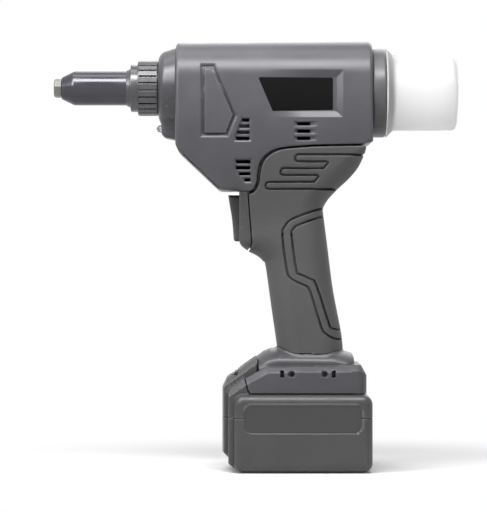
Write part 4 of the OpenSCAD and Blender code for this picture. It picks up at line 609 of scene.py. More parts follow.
def side_depth(x, z):
    """What both sides of the body have."""
    inward = -outline(PANEL, x, z)
    inner = ease(3.2, 3.6, inward)
    depth = 0.55 * np.clip(inward, 0, PANEL_BEVEL) * (1 - inner) + PANEL_SUNK * inner + groove(
        np.abs(inward - PANEL_GROOVE_IN), 0.75, 0.7, 0.25)
    depth = depth + groove(trail(CHIN_LINE, x, z), 0.5, 0.8, 0.3)
    for frame_points in SLOT_FRAMES:
        depth = depth + 0.9 * ease(-0.4, 1.0, -outline(frame_points, x, z))
    for x0, x1, row in REAR_SLOTS:
        (left, level), right = on_side(x0, row), on_side(RAMP_END_PX, row)[0]
        ramp = np.clip((right - x) / (right - on_side(x1, row)[0]), 0, 1) * ease(left - 3, left - 0.5, x)
        depth = depth + 1.3 * ramp * (1 - ease(SLOT_HALF_H - 0.2, SLOT_HALF_H + 0.7, np.abs(z - level)))
    return depth


def slot_cut(x, z):
    """Distance to the nearest air slot, negative inside it."""
    near = 1e3
    for x0, x1, row in FRONT_SLOTS + REAR_SLOTS:
        (left, level), right = on_side(x0, row), on_side(x1, row)[0]
        near = np.minimum(near, rounded_box(x - (left + right) / 2, z - level, (right - left) / 2, SLOT_HALF_H, 0.5))
    return near


side_sunk, plate_sunk, slot_line = (chart(draw, (-98, 196), (56, 322)) for draw in (side_depth, plate_depth, slot_cut))

# %% [markdown]
# ## The two housing halves
# Each half is the outside, sunk by those depths, with a seat and an open joint for the grip, hollowed to its wall
# and opened for bezel, gear case, container, pack and hooks. The right half's slots slant and sit a little
# forward, so that from the side no slot of the left half shows daylight through them.

# %% Housing halves
GRIP_EDGE = curve([(-39.5, 203.7), (-35.9, 205), (-32.8, 210.6), (-31.8, 218.6), (-30, 225.5), (-25.4, 231),
                   (-16.8, 235.2), (-1, 236.9), (11.5, 237.6), (42.7, 238.2)], 5)
GRIP_ZONE = GRIP_EDGE + [(80, 238.6), (80, 0), (-80, 0), (-80, 203.4)]
BEZEL_ZONE = [(-70, 204.9), (-40.2, 204.9), (-37.4, 167.6), (-38.2, 164), (-40.3, 161.1), (-44, 157), (-70, 150)]
grip_line = outline_chart(GRIP_ZONE, (-98, 55), (56, 322))
bezel_line = outline_chart(BEZEL_ZONE, (-98, 140), (56, 322))
GRIP_CLEAR, SKIN_T, JOINT_DEPTH, WALL, PART_LINE = 1.0, 2.4, 4.4, 2.6, 0.06
SLOT_SLANT, SLOT_FORWARD, SIDE_Y, SLOTS_FROM_Y = 1.2, 1.8, 33, 20
CASE_BORE_R, CASE_BORE_END, REAR_BORE_R, REAR_BORE_START = 20.1, -80, 12, 40
HOOK_HOLES, HOOK_HOLE_R = [(-8.2, 71.6), (15.8, 71.6)], 2.2
HOOK_SLOTS = [(-15.2, 71.6), (22.4, 71.6)]
BOSS_R, SCREW_WELL_R, GRIP_TOP = 5.4, 3.4, 232
SCREWS = [(-21, 307.4, 18), (39.5, 298.9, 18), (41.6, 253.4, 21.6), (-70, 226.6, 18), (6.4, 201.8, 12.6),
          (-19.6, 157.9, 10.8), (13.6, 108.4, 10.8), (31.6, 79.1, 14.4)]  # x, z and the seat's y
PACK_ROOMS = [(22.4, 65.6, 39.1), (21.6, 68.6, 39.1), (22.4, 110, -34.6), (8.4, 77, -31.6)]  # half width, top, rear end


def joint_gap(x):
    """Half the width of the open joint round the grip: wide behind the trigger, narrow along the body."""
    return 1.1 - 0.45 * ease(-30, -12, x)


def pack_room(x, y, z):
    """The way in the foot for the pack's tongue, rails, latch block and terminals."""
    wide = np.abs(y)
    rails = both(wide - 26.4, np.abs(z - 63.1) - 2.5, x - 39.1)
    terminals = both(wide - 19.05, z - 74.3, np.abs(x - 21.2) - 11.4)
    return either(rails, terminals, *(both(wide - half_w, z - top, x - rear) for half_w, top, rear in PACK_ROOMS))


def housing_half(side):
    """Distance function of one half: side -1 carries the plate, side 1 the screws."""
    right = side > 0

    def field(x, y, z):
        form, wide = tool_form(x, y, z), np.abs(y)
        depth = side_sunk(x, z)
        if not right:
            depth = depth + plate_sunk(x, z)
        shell = form + depth * ease(0, 6, wide - 12)
        edge, gap = grip_line(x, z), joint_gap(x)
        seat = both(edge, GRIP_CLEAR - foot_form(x, y, z), -form - SKIN_T)
        joint = both(np.abs(edge) - gap, -form - JOINT_DEPTH)
        shell = round_cut(round_cut(shell, -seat, 0.2), -joint, 1.6)
        near_joint = 1 - ease(gap + 0.5, gap + 3, np.abs(edge))
        thick = WALL + SKIN_T * (1 - ease(GRIP_TOP, 246, z)) + depth + 2.6 * near_joint
        shell = both(shell, -both(form + thick, 76 - z))
        slots = slot_line(x + SLOT_FORWARD * right, z + SLOT_SLANT * (y - SIDE_Y) * right)
        shell = round_cut(shell, -both(slots, SLOTS_FROM_Y - wide), 0.6)
        drum = np.hypot(y, z - PULL_Z)
        case_bore = both(drum - CASE_BORE_R, x - CASE_BORE_END)
        rear_bore = both(drum - REAR_BORE_R, REAR_BORE_START - x)
        bezel_room = both(bezel_line(x, z) - 0.15, -x - 60)
        shell = both(shell, -bezel_room, -case_bore, -rear_bore, -pack_room(x, y, z))
        for hx, hz in HOOK_HOLES:
            shell = round_cut(shell, -both(np.hypot(x - hx, z - hz) - HOOK_HOLE_R, 25 - wide), 0.3)
        for hx, hz in HOOK_SLOTS:
            shell = round_cut(shell, -both(rounded_box(x - hx, z - hz, 1.2, 2.35, 0.3), 28 - wide), 0.3)
        if right:
            for sx, sz, seat_y in SCREWS:
                ring = np.hypot(x - sx, z - sz)
                shell = either(shell, both(ring - BOSS_R, form + 0.6 + SKIN_T * (z < GRIP_TOP), -y))
                shell = round_cut(shell, -both(ring - SCREW_WELL_R, seat_y - y), 0.4)
        return round_cut(shell, PART_LINE - side * y, 0.45)
    return field


SHELL_STEP = (0.94, 1.4, 0.94)
for label, side, near_y, far_y in (("left", -1, -36.2, 0), ("right", 1, 0, 36.2)):
    moulding(f"housing_{label}_shell", housing_half(side), (BODY_FRONT, near_y, 57), (BODY_REAR, far_y, 317),
             SHELL_STEP, housing_nylon, "housing", "housing_" + label)

# %% [markdown]
# ## Soft grips, trigger and bezel
# The grip skins lie flush in a seat in the handle, with an open joint round them. Their outside is the same
# distance function as the housing's, cut to the grip's zone, so the two can never disagree. A winding groove and
# a banded groove are moulded into the rubber. The bezel in front is the same form once more, a hair lower.

# %% Grips
def turn_back(centre, r):
    """The half circle on which a winding groove turns round toward the rear."""
    return [(centre[0] - r * math.sin(t), centre[1] - r * math.cos(t)) for t in np.linspace(0, math.pi, 9)]


WINDING = [on_grip(*p) for p in (
    [(366, 155)] + turn_back((298.4, 158.5), 3.5) + [(325.9, 162), (327.6, 163.6), (323.2, 168.6)]
    + turn_back((283.7, 172), 3.4) + [(317, 175.4), (318.3, 177), (313.8, 182)]
    + turn_back((269, 185.6), 3.5) + [(336.6, 189.1), (345, 189.1)])]
BAND_OUTER = curve([on_grip(*p) for p in (
    (330, 205.2), (323.2, 207.6), (293.7, 218.3), (285, 226.2), (282.4, 235.7), (287, 270.5), (290.2, 277.6),
    (296, 281.7), (305, 285.6), (310.5, 292), (321.2, 326.8), (326.5, 334.4), (335, 339), (350, 341))], 3)
BAND_INNER = curve([on_grip(*p) for p in (
    (330, 213.8), (322.5, 216.3), (298.6, 224.8), (293, 229.6), (291.7, 235.7), (296.4, 270.5), (299.6, 274.2),
    (310.4, 279), (316.5, 285.3), (329.2, 324.1), (333, 329), (350, 332))], 3)
GRIP_STEP = (0.56, 1.0, 0.56)


def groove_depth(x, z):
    """Depth of the winding and the band in side view."""
    return groove(either(*(trail(line, x, z) for line in (WINDING, BAND_OUTER, BAND_INNER))), 0.72, 2.0, 0.3)


grip_sunk = chart(groove_depth, (-50, 78), (52, 242))


def grip_half(side):
    """Distance function of one grip skin."""
    def field(x, y, z):
        form = tool_form(x, y, z)
        rubber = form + grip_sunk(x, z) * ease(2, 9, np.abs(y))
        rubber = round_cut(rubber, grip_line(x, z) + joint_gap(x), 0.8)
        rubber = round_cut(rubber, GRIP_CLEAR + 0.12 - foot_form(x, y, z), 0.2)
        rubber = round_cut(rubber, 0.7 - bezel_line(x, z), 0.6)
        rubber = both(rubber, -form - SKIN_T + 0.1)
        return round_cut(rubber, PART_LINE - side * y, 0.3)
    return field


for label, side, near_y, far_y in (("left", -1, -33, 0), ("right", 1, 0, 33)):
    moulding("grip_skin_" + label, grip_half(side), (-46, near_y, 80), (46, far_y, 238), GRIP_STEP, grip_rubber,
             "housing", "grip_" + label)


# %% Trigger and bezel
TRIGGER_HALF_W, WAY_HALF_H, WAY_CLEAR = 10.0, 17.4, 0.4
PAD = curve([(-54.6, 202.3), (-53.3, 194), (-52, 186.4), (-51.1, 178), (-50.6, 170.4)], 4) + [
    (-50, 168.7), (-48.9, 168.3), (-37.4, 168.3), (-37.4, 202.3)]
PLUNGER_Z, PLUNGER_R, PLUNGER_START, PLUNGER_END = 185.3, 3.0, -38, -25.3


def trigger_pad(x, y, z):
    """The trigger: a hollow-fronted pad with a plunger behind it."""
    pad = round_cut(outline(PAD, x, z), np.abs(y) - TRIGGER_HALF_W, 2.4)
    rod = both(np.hypot(y, z - PLUNGER_Z) - PLUNGER_R, x - PLUNGER_END, PLUNGER_START - x)
    return either(pad, rod)


def bezel_frame(x, y, z):
    """The frame that the trigger slides in."""
    form, zone = upper_form(x, y, z), bezel_line(x, z)
    face = round_cut(form + 0.3, zone + 0.3, 0.5)
    lip = both(form + 3, zone - 1.5)
    way = both(np.abs(y) - TRIGGER_HALF_W - WAY_CLEAR, np.abs(z - PLUNGER_Z) - WAY_HALF_H)
    return round_cut(either(face, lip), -way, 0.5)


moulding("trigger_pad", trigger_pad, (-55, -10, 168), (-25, 10, 203), 0.45, trigger_nylon, "trigger", "trigger")
moulding("trigger_bezel_frame", bezel_frame, (-47, -26, 155), (-35, 26, 206.6), 0.45, trigger_nylon, "housing",
         "trigger_bezel")


# %% [markdown]
# ## Front collar, lamp and plate
# The collar closes the housing's front round the gear case and carries the work light in a block below. The
# bare plate follows the side, a little above the floor of its frame.

# %% Collar, lamp and plate
COLLAR_FRONT, COLLAR_R, COLLAR_CONE, CONE_FROM = -106.1, 26.2, 0.32, -104
LAMP_HALF_W, LAMP_LOW, LAMP_FRONT, LAMP_TOP = 12.0, 245.2, -103.8, 270
LENS_Z, LENS_R, LENS_END = 251.5, 3.0, -98


def collar(x, y, z):
    """A slightly coned drum with a rounded front edge, and the lamp block that hangs from it."""
    rho, back = np.hypot(y, z - PULL_Z), x - CONE_FROM
    drum = round_cut((rho - COLLAR_R - back * COLLAR_CONE) * 0.952, COLLAR_FRONT - x, 5)
    block = round_cut(round_cut(LAMP_LOW - back * 0.2 - z, LAMP_FRONT - x, 4), np.abs(y) - LAMP_HALF_W, 3)
    form = round_join(drum, both(block, z - LAMP_TOP), 3)
    form = both(form, x - BODY_FRONT + 0.15)
    form = round_cut(form, CASE_BORE_R - rho, 0.6)
    return round_cut(form, LENS_R + 0.05 - np.hypot(y, z - LENS_Z), 0.5)


def lamp_lens(x, y, z):
    """The work light's dome on a short rod."""
    rho = np.hypot(y, z - LENS_Z)
    return both(np.hypot(rho, np.minimum(x - LAMP_FRONT, 0) * 0.8) - LENS_R, x - LENS_END)


def plate(x, y, z):
    """The bare plate in its frame on the left side."""
    floor_level = upper_form(x, y, z) + plate_sunk(x, z)
    face = round_cut(floor_level - 0.45, outline(PLATE, x, z) - PLATE_CORNER, 0.3)
    return both(face, -floor_level - 0.9, y)


moulding("front_collar_drum", collar, (-106.2, -30, 242.4), (-93, 30, 312), 0.5, collar_nylon, "housing",
         "front_collar")
moulding("lamp_lens_dome", lamp_lens, (-108, -3, 248.4), (-98, 3, 254.6), 0.25, clear_lens, "housing",
         "work_light_lens")
moulding("bare_plate", plate, (-34, -36.4, 261), (23, -28, 291), 0.4, plate_acrylic, "housing", "nameplate")


# %% [markdown]
# ## Turned parts
# The nose is lathe work: barrel with its cone, the lock nut's core and, at the rear, the ring that holds the
# container. A profile spun about the axis is the natural way to make them. Corners get small radii, and normals
# are weighted by the length of the neighbouring line, so flats stay flat and only the radii catch light.

# %% Lathe
CORNER_STEPS, SIDES = 6, 128


def turned(name, profile, axis_z, material, body, node):
    """A ring about the X axis at axis_z; the closed profile lists x, radius and corner radius."""
    line = []
    for before, here, after in zip(profile[-1:] + profile[:-1], profile, profile[1:] + profile[:1]):
        corner = np.array(here[:2], float)
        reach = [np.array(q[:2]) - corner for q in (before, after)]
        ends = [corner + r * min(here[2] / np.linalg.norm(r), 0.45) for r in reach]
        steps = np.linspace(0, 1, CORNER_STEPS) if here[2] else [0.5]
        line += [(1 - t) ** 2 * ends[0] + 2 * t * (1 - t) * corner + t * t * ends[1] for t in steps]
    line = np.array(line)
    run = np.roll(line, -1, 0) - line
    turn = np.sign((line[:, 0] * np.roll(line[:, 1], -1) - line[:, 1] * np.roll(line[:, 0], -1)).sum())
    flat = np.stack([run[:, 1], -run[:, 0]], 1) * turn
    lean = flat + np.roll(flat, 1, 0)
    lean /= np.linalg.norm(lean, axis=1)[:, None]
    angle = np.arange(SIDES) * 2 * math.pi / SIDES

    def spin(pairs):
        along, radius = pairs[:, :1], pairs[:, 1:]
        return np.stack([np.repeat(along, SIDES, 1), radius * np.sin(angle), radius * np.cos(angle)], 2).reshape(-1, 3)

    grid = np.arange(len(line) * SIDES).reshape(len(line), SIDES)
    below = np.roll(grid, -1, 0)
    faces = np.stack([grid, below, np.roll(below, -1, 1), np.roll(grid, -1, 1)], 2).reshape(-1, 4)
    if turn > 0:
        faces = faces[:, ::-1]
    piece = as_object(name, spin(line) + np.array([0, 0, axis_z]), faces, spin(lean), material)
    fitted(piece, body, node)
    print(name, len(line), "profile points on", SIDES, "sides")


turned("nose_barrel", [
    (-177.7, 5.05, 0), (-177.7, 8, 0.6), (-168.4, 12.6, 1.6), (-121.2, 12.6, 0), (-121.2, 15.8, 0.3),
    (-118.2, 15.8, 0.3), (-118.2, 9.5, 0.2), (-166.4, 9.5, 0), (-166.4, 5.05, 0)],
    PULL_Z, black_oxide, "housing", "nose_sleeve")
turned("ring_holder", [
    (51.1, 26.4, 0), (51.1, 32.2, 0.5), (52.2, 32.8, 0.4), (60, 32.8, 1.0), (61.3, 31.8, 0.5), (61.3, 26.4, 0.5)],
    CUP_Z, ring_nylon, "housing", "rear_ring")


# %% [markdown]
# ## Lock nut
# Twenty-four ribs repeat round the nut, so Geometry Nodes set them: a rounded bar is drawn once and placed on the
# points of a circle, each turned outward. The core with its two rims is lathe work, a second piece of the nut.

# %% Ribs by Geometry Nodes
def new_tree(name, numbers):
    """An empty geometry tree with named number inputs; gives the tree and its input node's outputs."""
    tree = bpy.data.node_groups.new(name, "GeometryNodeTree")
    tree.interface.new_socket("Geometry", in_out="INPUT", socket_type="NodeSocketGeometry")
    tree.interface.new_socket("Geometry", in_out="OUTPUT", socket_type="NodeSocketGeometry")
    for label, kind in numbers.items():
        tree.interface.new_socket(label, in_out="INPUT", socket_type="NodeSocket" + kind)
    return tree, add(tree, "NodeGroupInput").outputs


def grown(name, tree, start_points, values):
    """A piece with the plain mesh that a tree makes from points in metres, with its inputs set by name."""
    start = in_scene("start", bpy.data.meshes.new("start"))
    start.data.from_pydata(start_points, [], [])
    modifier = start.modifiers.new(tree.name, "NODES")
    modifier.node_group = tree
    for item in tree.interface.items_tree:
        if item.in_out == "INPUT" and item.name in values:
            modifier[item.identifier] = values[item.name]
    start.update_tag()
    seen_now = bpy.context.evaluated_depsgraph_get()
    mesh = bpy.data.meshes.new_from_object(start.evaluated_get(seen_now), depsgraph=seen_now)
    bpy.data.objects.remove(start)
    mesh.name = name
    return in_scene(name, mesh)


ribs, given = new_tree("ribs_round_a_nut", {
    "Count": "Int", "Radius": "Float", "Length": "Float", "Width": "Float", "Height": "Float", "Corner": "Float",
    "Middle": "Vector"})
plain_bar = add(ribs, "GeometryNodeCurvePrimitiveQuadrilateral", {"Width": given["Width"], "Height": given["Height"]})
soft_bar = add(ribs, "GeometryNodeFilletCurve", {"Curve": plain_bar, "Count": 5, "Radius": given["Corner"]},
               mode="POLY")
half_l = add(ribs, "ShaderNodeMath", {0: given["Length"], 1: 0.5}, operation="MULTIPLY")
minus_l = add(ribs, "ShaderNodeMath", {0: half_l, 1: -1.0}, operation="MULTIPLY")
tail = add(ribs, "ShaderNodeCombineXYZ", {"X": minus_l})
head = add(ribs, "ShaderNodeCombineXYZ", {"X": half_l})
spine = add(ribs, "GeometryNodeCurvePrimitiveLine", {"Start": tail, "End": head})
bar = add(ribs, "GeometryNodeCurveToMesh", {"Curve": spine, "Profile Curve": soft_bar, "Fill Caps": True})
circle = add(ribs, "GeometryNodeMeshCircle", {"Vertices": given["Count"], "Radius": given["Radius"]})
stood = add(ribs, "GeometryNodeTransform", {"Geometry": circle, "Rotation": (0, math.pi / 2, 0)})
spot = add(ribs, "GeometryNodeInputPosition")
outward = add(ribs, "FunctionNodeAlignRotationToVector", {"Vector": spot}, axis="Z", pivot_axis="X")
placed = add(ribs, "GeometryNodeInstanceOnPoints", {"Points": stood, "Instance": bar, "Rotation": outward})
real = add(ribs, "GeometryNodeRealizeInstances", {"Geometry": placed})
moved = add(ribs, "GeometryNodeTransform", {"Geometry": real, "Translation": given["Middle"]})
dressed = add(ribs, "GeometryNodeSetMaterial", {"Geometry": moved, "Material": black_flutes})
add(ribs, "NodeGroupOutput", {"Geometry": dressed})

RIB_N = 24
rib_piece = grown("lock_nut_ribs", ribs, [], {
    "Count": RIB_N, "Radius": 18.9 * MM, "Length": 13.2 * MM, "Width": 4.3 * MM, "Height": 2.8 * MM,
    "Corner": 0.5 * MM, "Middle": (-113.65 * MM, 0, PULL_Z * MM)})
turned("lock_nut_core", [
    (-129.7, 12.65, 0), (-129.7, 13, 0.3), (-126.6, 14.5, 0.4), (-126.6, 17.5, 1.0), (-121.2, 17.5, 0.4),
    (-121.2, 19.9, 0.7), (-120.3, 20.1, 0.3), (-120.1, 18.6, 0.2), (-107.2, 18.6, 0.2), (-107, 20.1, 0.3),
    (-106.2, 19.9, 0.5), (-106.2, 15.9, 0), (-121.1, 15.9, 0), (-121.1, 12.65, 0)],
    PULL_Z, black_flutes, "housing", "lock_nut")
for face in rib_piece.data.polygons:
    face.use_smooth = False
fitted(rib_piece, "housing", "lock_nut")
rib_out = max(math.hypot(v.co.y, v.co.z - PULL_Z * MM) for v in rib_piece.data.vertices) / MM
print("ribs", RIB_N, "faces", len(rib_piece.data.polygons), "outer radius", round(rib_out, 2))


# %% [markdown]
# ## Nosepiece and container
# The nosepiece is a chamfered hexagon on a round shank, so three pairs of flats and a cone cut one another. The
# container is a frosted cup with a flange, open toward the tool: light goes through it and is scattered on the way.

# %% Nosepiece and container
TIP_X, HEX_END, SHANK_START, SHANK_END = -183.3, -177.75, -178, -166.45
HEX_FLAT, HEX_TURN, TIP_R, SHANK_R, MANDREL_R = 6.3, 22, 6, 5.0, 1.65
CUP_START, CUP_END, CUP_R, CUP_BORE_R, CUP_FLOOR = 61.5, 113.5, 27.7, 24, 111.5
FLANGE_R, FLANGE_FLAT, FLANGE_END, SPIGOT_R, SPIGOT_START = 32.7, 62.2, 67.4, 26, 55


def nosepiece(x, y, z):
    """A hexagon with a turned chamfer, its shank and the mandrel's bore."""
    height = z - PULL_Z
    rho = np.hypot(y, height)
    flats = rho * 0
    for turn in (0, 60, 120):
        c, s = math.cos(math.radians(turn + HEX_TURN)), math.sin(math.radians(turn + HEX_TURN))
        flats = np.maximum(flats, np.abs(y * c + height * s))
    hexagon = round_cut(flats - HEX_FLAT, (rho - TIP_R - (x - TIP_X)) * DIAGONAL, 0.3)
    hexagon = round_cut(hexagon, both(TIP_X - x, x - HEX_END), 0.3)
    shank = both(rho - SHANK_R, SHANK_START - x, x - SHANK_END)
    return round_cut(either(hexagon, shank), MANDREL_R - rho, 0.3)


def container_cup(x, y, z):
    """The cup: spigot, coned flange and wall, with a rounded closed end."""
    rho = np.hypot(y, z - CUP_Z)
    wall = both(round_cut(rho - CUP_R, x - CUP_END, 3.4), CUP_START - x)
    flange = round_cut(rho - FLANGE_R + np.maximum(x - FLANGE_FLAT, 0) * 1.05, CUP_START - x, 0.5)
    flange = both(flange * 0.75, x - FLANGE_END)
    spigot = both(rho - SPIGOT_R, x - 62, SPIGOT_START - x)
    inside = round_cut(rho - CUP_BORE_R, x - CUP_FLOOR, 2.2)
    return both(round_join(either(wall, spigot), flange, 1.2), -inside)


moulding("nosepiece_hexagon", nosepiece, (TIP_X, -7, 274.5), (-166.4, 7, 288.5), 0.28, grey_steel, "housing",
         "nosepiece")
moulding("container_cup", container_cup, (55, -32.8, 245.2), (113.5, 32.8, 310.8), 0.75, frosted_cup, "container",
         "container")


# %% [markdown]
# ## Battery pack
# Two half shells meet at a fine seam. The front end steps out twice: a broad band, and a narrow one that rises
# as the latch block. On top are the tongue and rails that slide into the foot. The same two functions are cut
# above and below the seam, so the shells match along it.

# %% Pack shells
PACK_HALF_L, PACK_HALF_W, PACK_H, SEAM_Z, SEAM_GAP, PACK_WALL = 50.6, 38.0, 56.8, 39.7, 0.08, 2.4
BAND = [(-20, 3), (-50.8, 3), (-54.4, 6.6), (-54.4, 57.6), (-52.6, 61.3), (-42.8, 67.7), (-42.5, 67.4), (-41.2, 63.6),
        (-40, 59.2), (-37.8, 56.4), (-37, 50), (-20, 50)]
BLOCK = [(-20, 10.5), (-55.6, 10.5), (-58.9, 13.8), (-58.9, 61.2), (-55.6, 68.3), (-52.4, 70.9), (-45.7, 75.6),
         (-36, 82.4), (-34.1, 83.3), (-34.4, 75), (-35, 50), (-20, 50)]
NOTCH = [(-53.6, 71.2), (-52.2, 69.9), (-48.2, 69.7), (-45.4, 76.4), (-53, 77)]
BAND_HALF_W, BAND_CHAMFER, BLOCK_HALF_W, BLOCK_CHAMFER = 32, 4.2, 22, 4.5
LABEL_HALF_L, LABEL_MID_Z, LABEL_HALF_H, LABEL_CORNER, LABEL_SUNK = 42.4, 39.0, 10.4, 5.2, 0.7
TONGUE_END, CONTACTS_FROM = 38.7, 7.9
band_line = outline_chart(BAND, (-64, -4), (56, 90))
block_line = outline_chart(BLOCK, (-64, -4), (56, 90))


def label_zone(x, z):
    """Distance to the label's outline in side view."""
    return rounded_box(x, z - LABEL_MID_Z, LABEL_HALF_L, LABEL_HALF_H, LABEL_CORNER)


def pack_core(x, y, z):
    """The block that holds the cells."""
    return round_cut(rounded_box(x, z - PACK_H / 2, PACK_HALF_L, PACK_H / 2, 7.5), np.abs(y) - PACK_HALF_W, 6.5)


def pack_outside(x, y, z):
    """The pack's outside with its stepped front end; each step's sloped top has chamfered sides."""
    wide = np.abs(y)
    core = pack_core(x, y, z) + LABEL_SUNK * ease(-0.3, 0.3, -label_zone(x, z)) * ease(30, 34, wide)
    band = round_cut(band_line(x, z), wide - BAND_HALF_W, 1.4)
    slope_up = (z - 61.3) * 0.837 - (x + 52.6) * 0.547
    band = both(band, (slope_up + wide - BAND_HALF_W + BAND_CHAMFER) * DIAGONAL)
    band = both(band, -both(np.abs(x + 49.8) - 1.7, np.abs(z - 4) - 1.8, 26 - wide))
    block = round_cut(block_line(bowed(x, y), z), wide - BLOCK_HALF_W, 1.2)
    slope_up = (z - 70.9) * 0.819 - (x + 52.4) * 0.573
    block = both(block, (slope_up + wide - BLOCK_HALF_W + BLOCK_CHAMFER) * DIAGONAL)
    return round_join(round_join(core, band, 0.8), block, 0.8)


def tongue(x, y, z):
    """What slides into the foot: neck, rails and the block behind the contacts."""
    wide = np.abs(y)
    neck = both(wide - 22, z - 65.2, x - TONGUE_END, -35.5 - x)
    rails = both(wide - 26, np.abs(z - 63.1) - 2.1, x - TONGUE_END, -35 - x)
    block = both(wide - 21.2, z - 68.2, x - CONTACTS_FROM, -35.5 - x)
    way = both(wide - 19.4, PACK_H - z, CONTACTS_FROM - x)
    for share in (-0.62, -0.2, 0.2, 0.62):
        way = either(way, both(np.abs(y - share * 19) - 1.6, np.abs(z - 62) - 5, -15 - x))
    return both(round_cut(both(either(neck, rails, block), 50 - z), -way, 0.4), -60 - x)


def pack_hollow(x, y, z):
    """Room for the cells."""
    return pack_core(x, y, z) + PACK_WALL


def upper_shell(x, y, z):
    """Everything of the pack above the seam, with the latch button's well, its hook's way and a notch."""
    wide = np.abs(y)
    shell = both(either(pack_outside(x, y, z), tongue(x, y, z)), -pack_hollow(x, y, z))
    well = both(wide - 12.4, np.abs(x + 47.2) - 5.2, 50.8 - z)
    hook = both(wide - 8.32, np.abs(x + 38) - 5, 68.2 - z)
    shell = round_cut(shell, -either(well, hook, outline(NOTCH, x, z)), 0.4)
    return round_cut(shell, SEAM_Z + SEAM_GAP - z, 0.25)


def lower_shell(x, y, z):
    """Everything of the pack below the seam."""
    shell = both(pack_outside(x, y, z), -pack_hollow(x, y, z))
    return round_cut(shell, z - SEAM_Z + SEAM_GAP, 0.25)


moulding("pack_upper_shell", upper_shell, (-59, -38, 39.6), (50.7, 38, 83.6), 0.8, pack_nylon, "battery",
         "case_upper")
moulding("pack_lower_shell", lower_shell, (-59, -38, 0), (50.7, 38, 39.8), 0.8, pack_nylon, "battery",
         "case_lower")


# %% Label panels and latch button
LABEL_BELOW_SIDE, LABEL_BACK, RIDGE_PITCH, RIDGE_H = 0.5, 1.7, 4.2, 0.3


def label_pair(x, y, z):
    """A bare film in the recess on each side of the pack."""
    face = round_cut(np.abs(y) - PACK_HALF_W + LABEL_BELOW_SIDE, label_zone(x, z) + 0.6, 0.1)
    return both(face, PACK_HALF_W - LABEL_BACK - np.abs(y))


def latch(x, y, z):
    """The button in the latch block, with grip ridges, and the hook that holds the pack in the foot."""
    wide = np.abs(y)
    rise = (z - 70.9 - (x + 52.4) * 0.7) * 0.819 + 0.6
    ridges = RIDGE_H * np.cos((x + z) * 2 * math.pi / RIDGE_PITCH)
    button = round_cut(both(np.abs(x + 47) - 5, wide - 12), rise + ridges, 0.8)
    hook = both(np.abs(x + 37.5) - 5.5, wide - 7.9, np.abs(z - 74.6) - 2)
    return either(both(button, PACK_H - z), hook)


moulding("pack_labels", label_pair, (-42.5, -37.8, 28.4), (42.5, 37.8, 49.6), 0.5, label_film, "battery",
         "label_panels")
moulding("latch_push_button", latch, (-52, -12, 56.8), (-32, 12, 78), 0.4, black_plastic, "latch", "latch_button")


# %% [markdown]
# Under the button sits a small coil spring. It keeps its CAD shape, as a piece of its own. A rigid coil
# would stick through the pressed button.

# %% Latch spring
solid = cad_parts["latch_spring"]
coil = bpy.data.meshes.new_from_object(solid)
coil.transform(solid.matrix_world)
coil.materials.clear()
coil.materials.append(bright_steel)
for face in coil.polygons:
    face.use_smooth = True
spring = in_scene("latch_coil_spring", coil)
fitted(spring, "battery", "latch_spring")
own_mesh(spring)
print("spring", len(coil.polygons), "faces")


# %% [markdown]
# ## Housing screws
# Eight equal screws hold the halves together. Their seats are points, and Geometry Nodes put one screw on each:
# a head with a six-sided socket, cut with a boolean, and a shank behind it.

# %% Screws by Geometry Nodes
HEAD_R, HEAD_H, THREAD_R, SCREW_L = 3.0, 2.0, 1.5, 22.0
screws, given = new_tree("screws_on_seats", {
    "Head radius": "Float", "Head height": "Float", "Shank radius": "Float", "Shank length": "Float"})
head_r, head_h, shank_r, shank_l = (given[n] for n in ("Head radius", "Head height", "Shank radius", "Shank length"))
seats = add(screws, "GeometryNodeMeshToPoints", {"Mesh": given["Geometry"]})
head_disc = add(screws, "GeometryNodeMeshCylinder", {"Vertices": 48, "Radius": head_r, "Depth": head_h})
socket = add(screws, "GeometryNodeMeshCylinder", {"Vertices": 6, "Radius": shank_r, "Depth": head_h})
half_head = add(screws, "ShaderNodeMath", {0: head_h, 1: 0.5}, operation="MULTIPLY")
half_shank = add(screws, "ShaderNodeMath", {0: shank_l, 1: -0.5}, operation="MULTIPLY")
up = add(screws, "ShaderNodeCombineXYZ", {"Z": half_head})
down = add(screws, "ShaderNodeCombineXYZ", {"Z": half_shank})
lifted = add(screws, "GeometryNodeTransform", {"Geometry": head_disc, "Translation": up})
above = add(screws, "ShaderNodeVectorMath", {0: up, "Scale": 2.0}, operation="SCALE")
raised = add(screws, "GeometryNodeTransform", {"Geometry": socket, "Translation": above})
drilled = add(screws, "GeometryNodeMeshBoolean", {"Mesh 1": lifted, "Mesh 2": raised}, operation="DIFFERENCE")
thread = add(screws, "GeometryNodeMeshCylinder", {"Vertices": 32, "Radius": shank_r, "Depth": shank_l})
lowered = add(screws, "GeometryNodeTransform", {"Geometry": thread, "Translation": down})
one_screw = add(screws, "GeometryNodeJoinGeometry")
for part in (drilled, lowered):
    screws.links.new(part.outputs[0], one_screw.inputs[0])
set_out = add(screws, "GeometryNodeInstanceOnPoints", {
    "Points": seats, "Instance": one_screw, "Rotation": (-math.pi / 2, 0, 0)})
made = add(screws, "GeometryNodeRealizeInstances", {"Geometry": set_out})
coated = add(screws, "GeometryNodeSetMaterial", {"Geometry": made, "Material": bright_steel})
add(screws, "NodeGroupOutput", {"Geometry": coated})

screw_piece = grown("housing_screw_set", screws, [(x * MM, seat_y * MM, z * MM) for x, z, seat_y in SCREWS], {
    "Head radius": HEAD_R * MM, "Head height": HEAD_H * MM, "Shank radius": THREAD_R * MM,
    "Shank length": SCREW_L * MM})
fitted(screw_piece, "housing", "housing_screws")
print("screws", len(SCREWS), "faces", len(screw_piece.data.polygons))


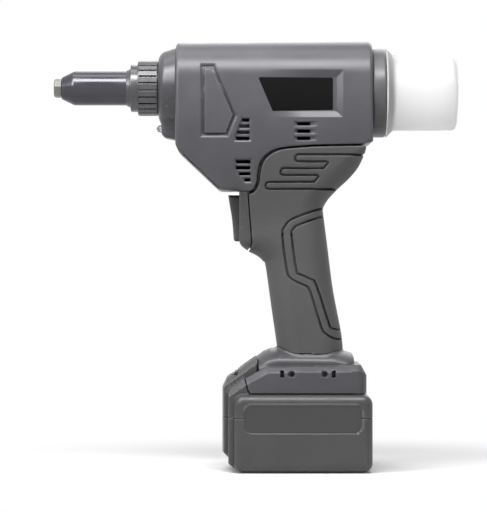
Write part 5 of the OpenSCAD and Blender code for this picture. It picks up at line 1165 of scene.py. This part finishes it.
# %% [markdown]
# ## Solids that stay
# Gears, motor, cells and the jaw spring keep their CAD shape. Each gets its own finish, and a small modifier that
# welds the facets and shades them smooth up to an edge angle, so turned faces look round and edges stay crisp.

# %% Weld and smooth
WELD_M, SMOOTH_UP_TO = 2e-6, math.radians(28)
smooth_tree, given = new_tree("weld_and_smooth", {"Angle": "Float"})
welded = add(smooth_tree, "GeometryNodeMergeByDistance", {"Geometry": given["Geometry"], "Distance": WELD_M})
bend = add(smooth_tree, "GeometryNodeInputMeshEdgeAngle").outputs["Unsigned Angle"]
gentle = add(smooth_tree, "FunctionNodeCompare", {0: bend, 1: given["Angle"]}, data_type="FLOAT", operation="LESS_THAN")
soft_edges = add(smooth_tree, "GeometryNodeSetShadeSmooth", {"Geometry": welded, "Shade Smooth": gentle}, domain="EDGE")
soft_faces = add(smooth_tree, "GeometryNodeSetShadeSmooth", {"Geometry": soft_edges}, domain="FACE")
add(smooth_tree, "NodeGroupOutput", {"Geometry": soft_faces})
ANGLE_KEY = [i.identifier for i in smooth_tree.interface.items_tree if i.name == "Angle"][0]
STAYING = (
    (bright_steel, "nut_bearings motor_bearings rotor_shaft motor_pinion idler_gear ball_nut ball_screw pull_adapter "
                   "jaw_case jaw_spring mandrel_tube cell_straps"),
    (black_oxide, "jaws jaw_pusher hook_inserts battery_screws idler_shaft case_screws motor_can guide_rod"),
    (cast_aluminium, "gear_case gear_plate gear_cover"),
    (brass, "idler_bushes"),
    (copper, "terminal_blades battery_contacts commutator rotor_core wiring"),
    (black_plastic, "guide_tube brush_plate switch_body terminal_block cooling_fan guide_shoe cell_holder "
                    "motor_magnets"),
    (board_mask, "control_board battery_board"),
    (cell_wrap, "battery_cells"),
)
for finish, names in STAYING:
    for name in names.split():
        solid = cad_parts[name]
        solid.data.materials.clear()
        solid.data.materials.append(finish)
        modifier = solid.modifiers.new("weld_and_smooth", "NODES")
        modifier.node_group = smooth_tree
        modifier[ANGLE_KEY] = SMOOTH_UP_TO
print("solids that stay", sum(len(names.split()) for _, names in STAYING))
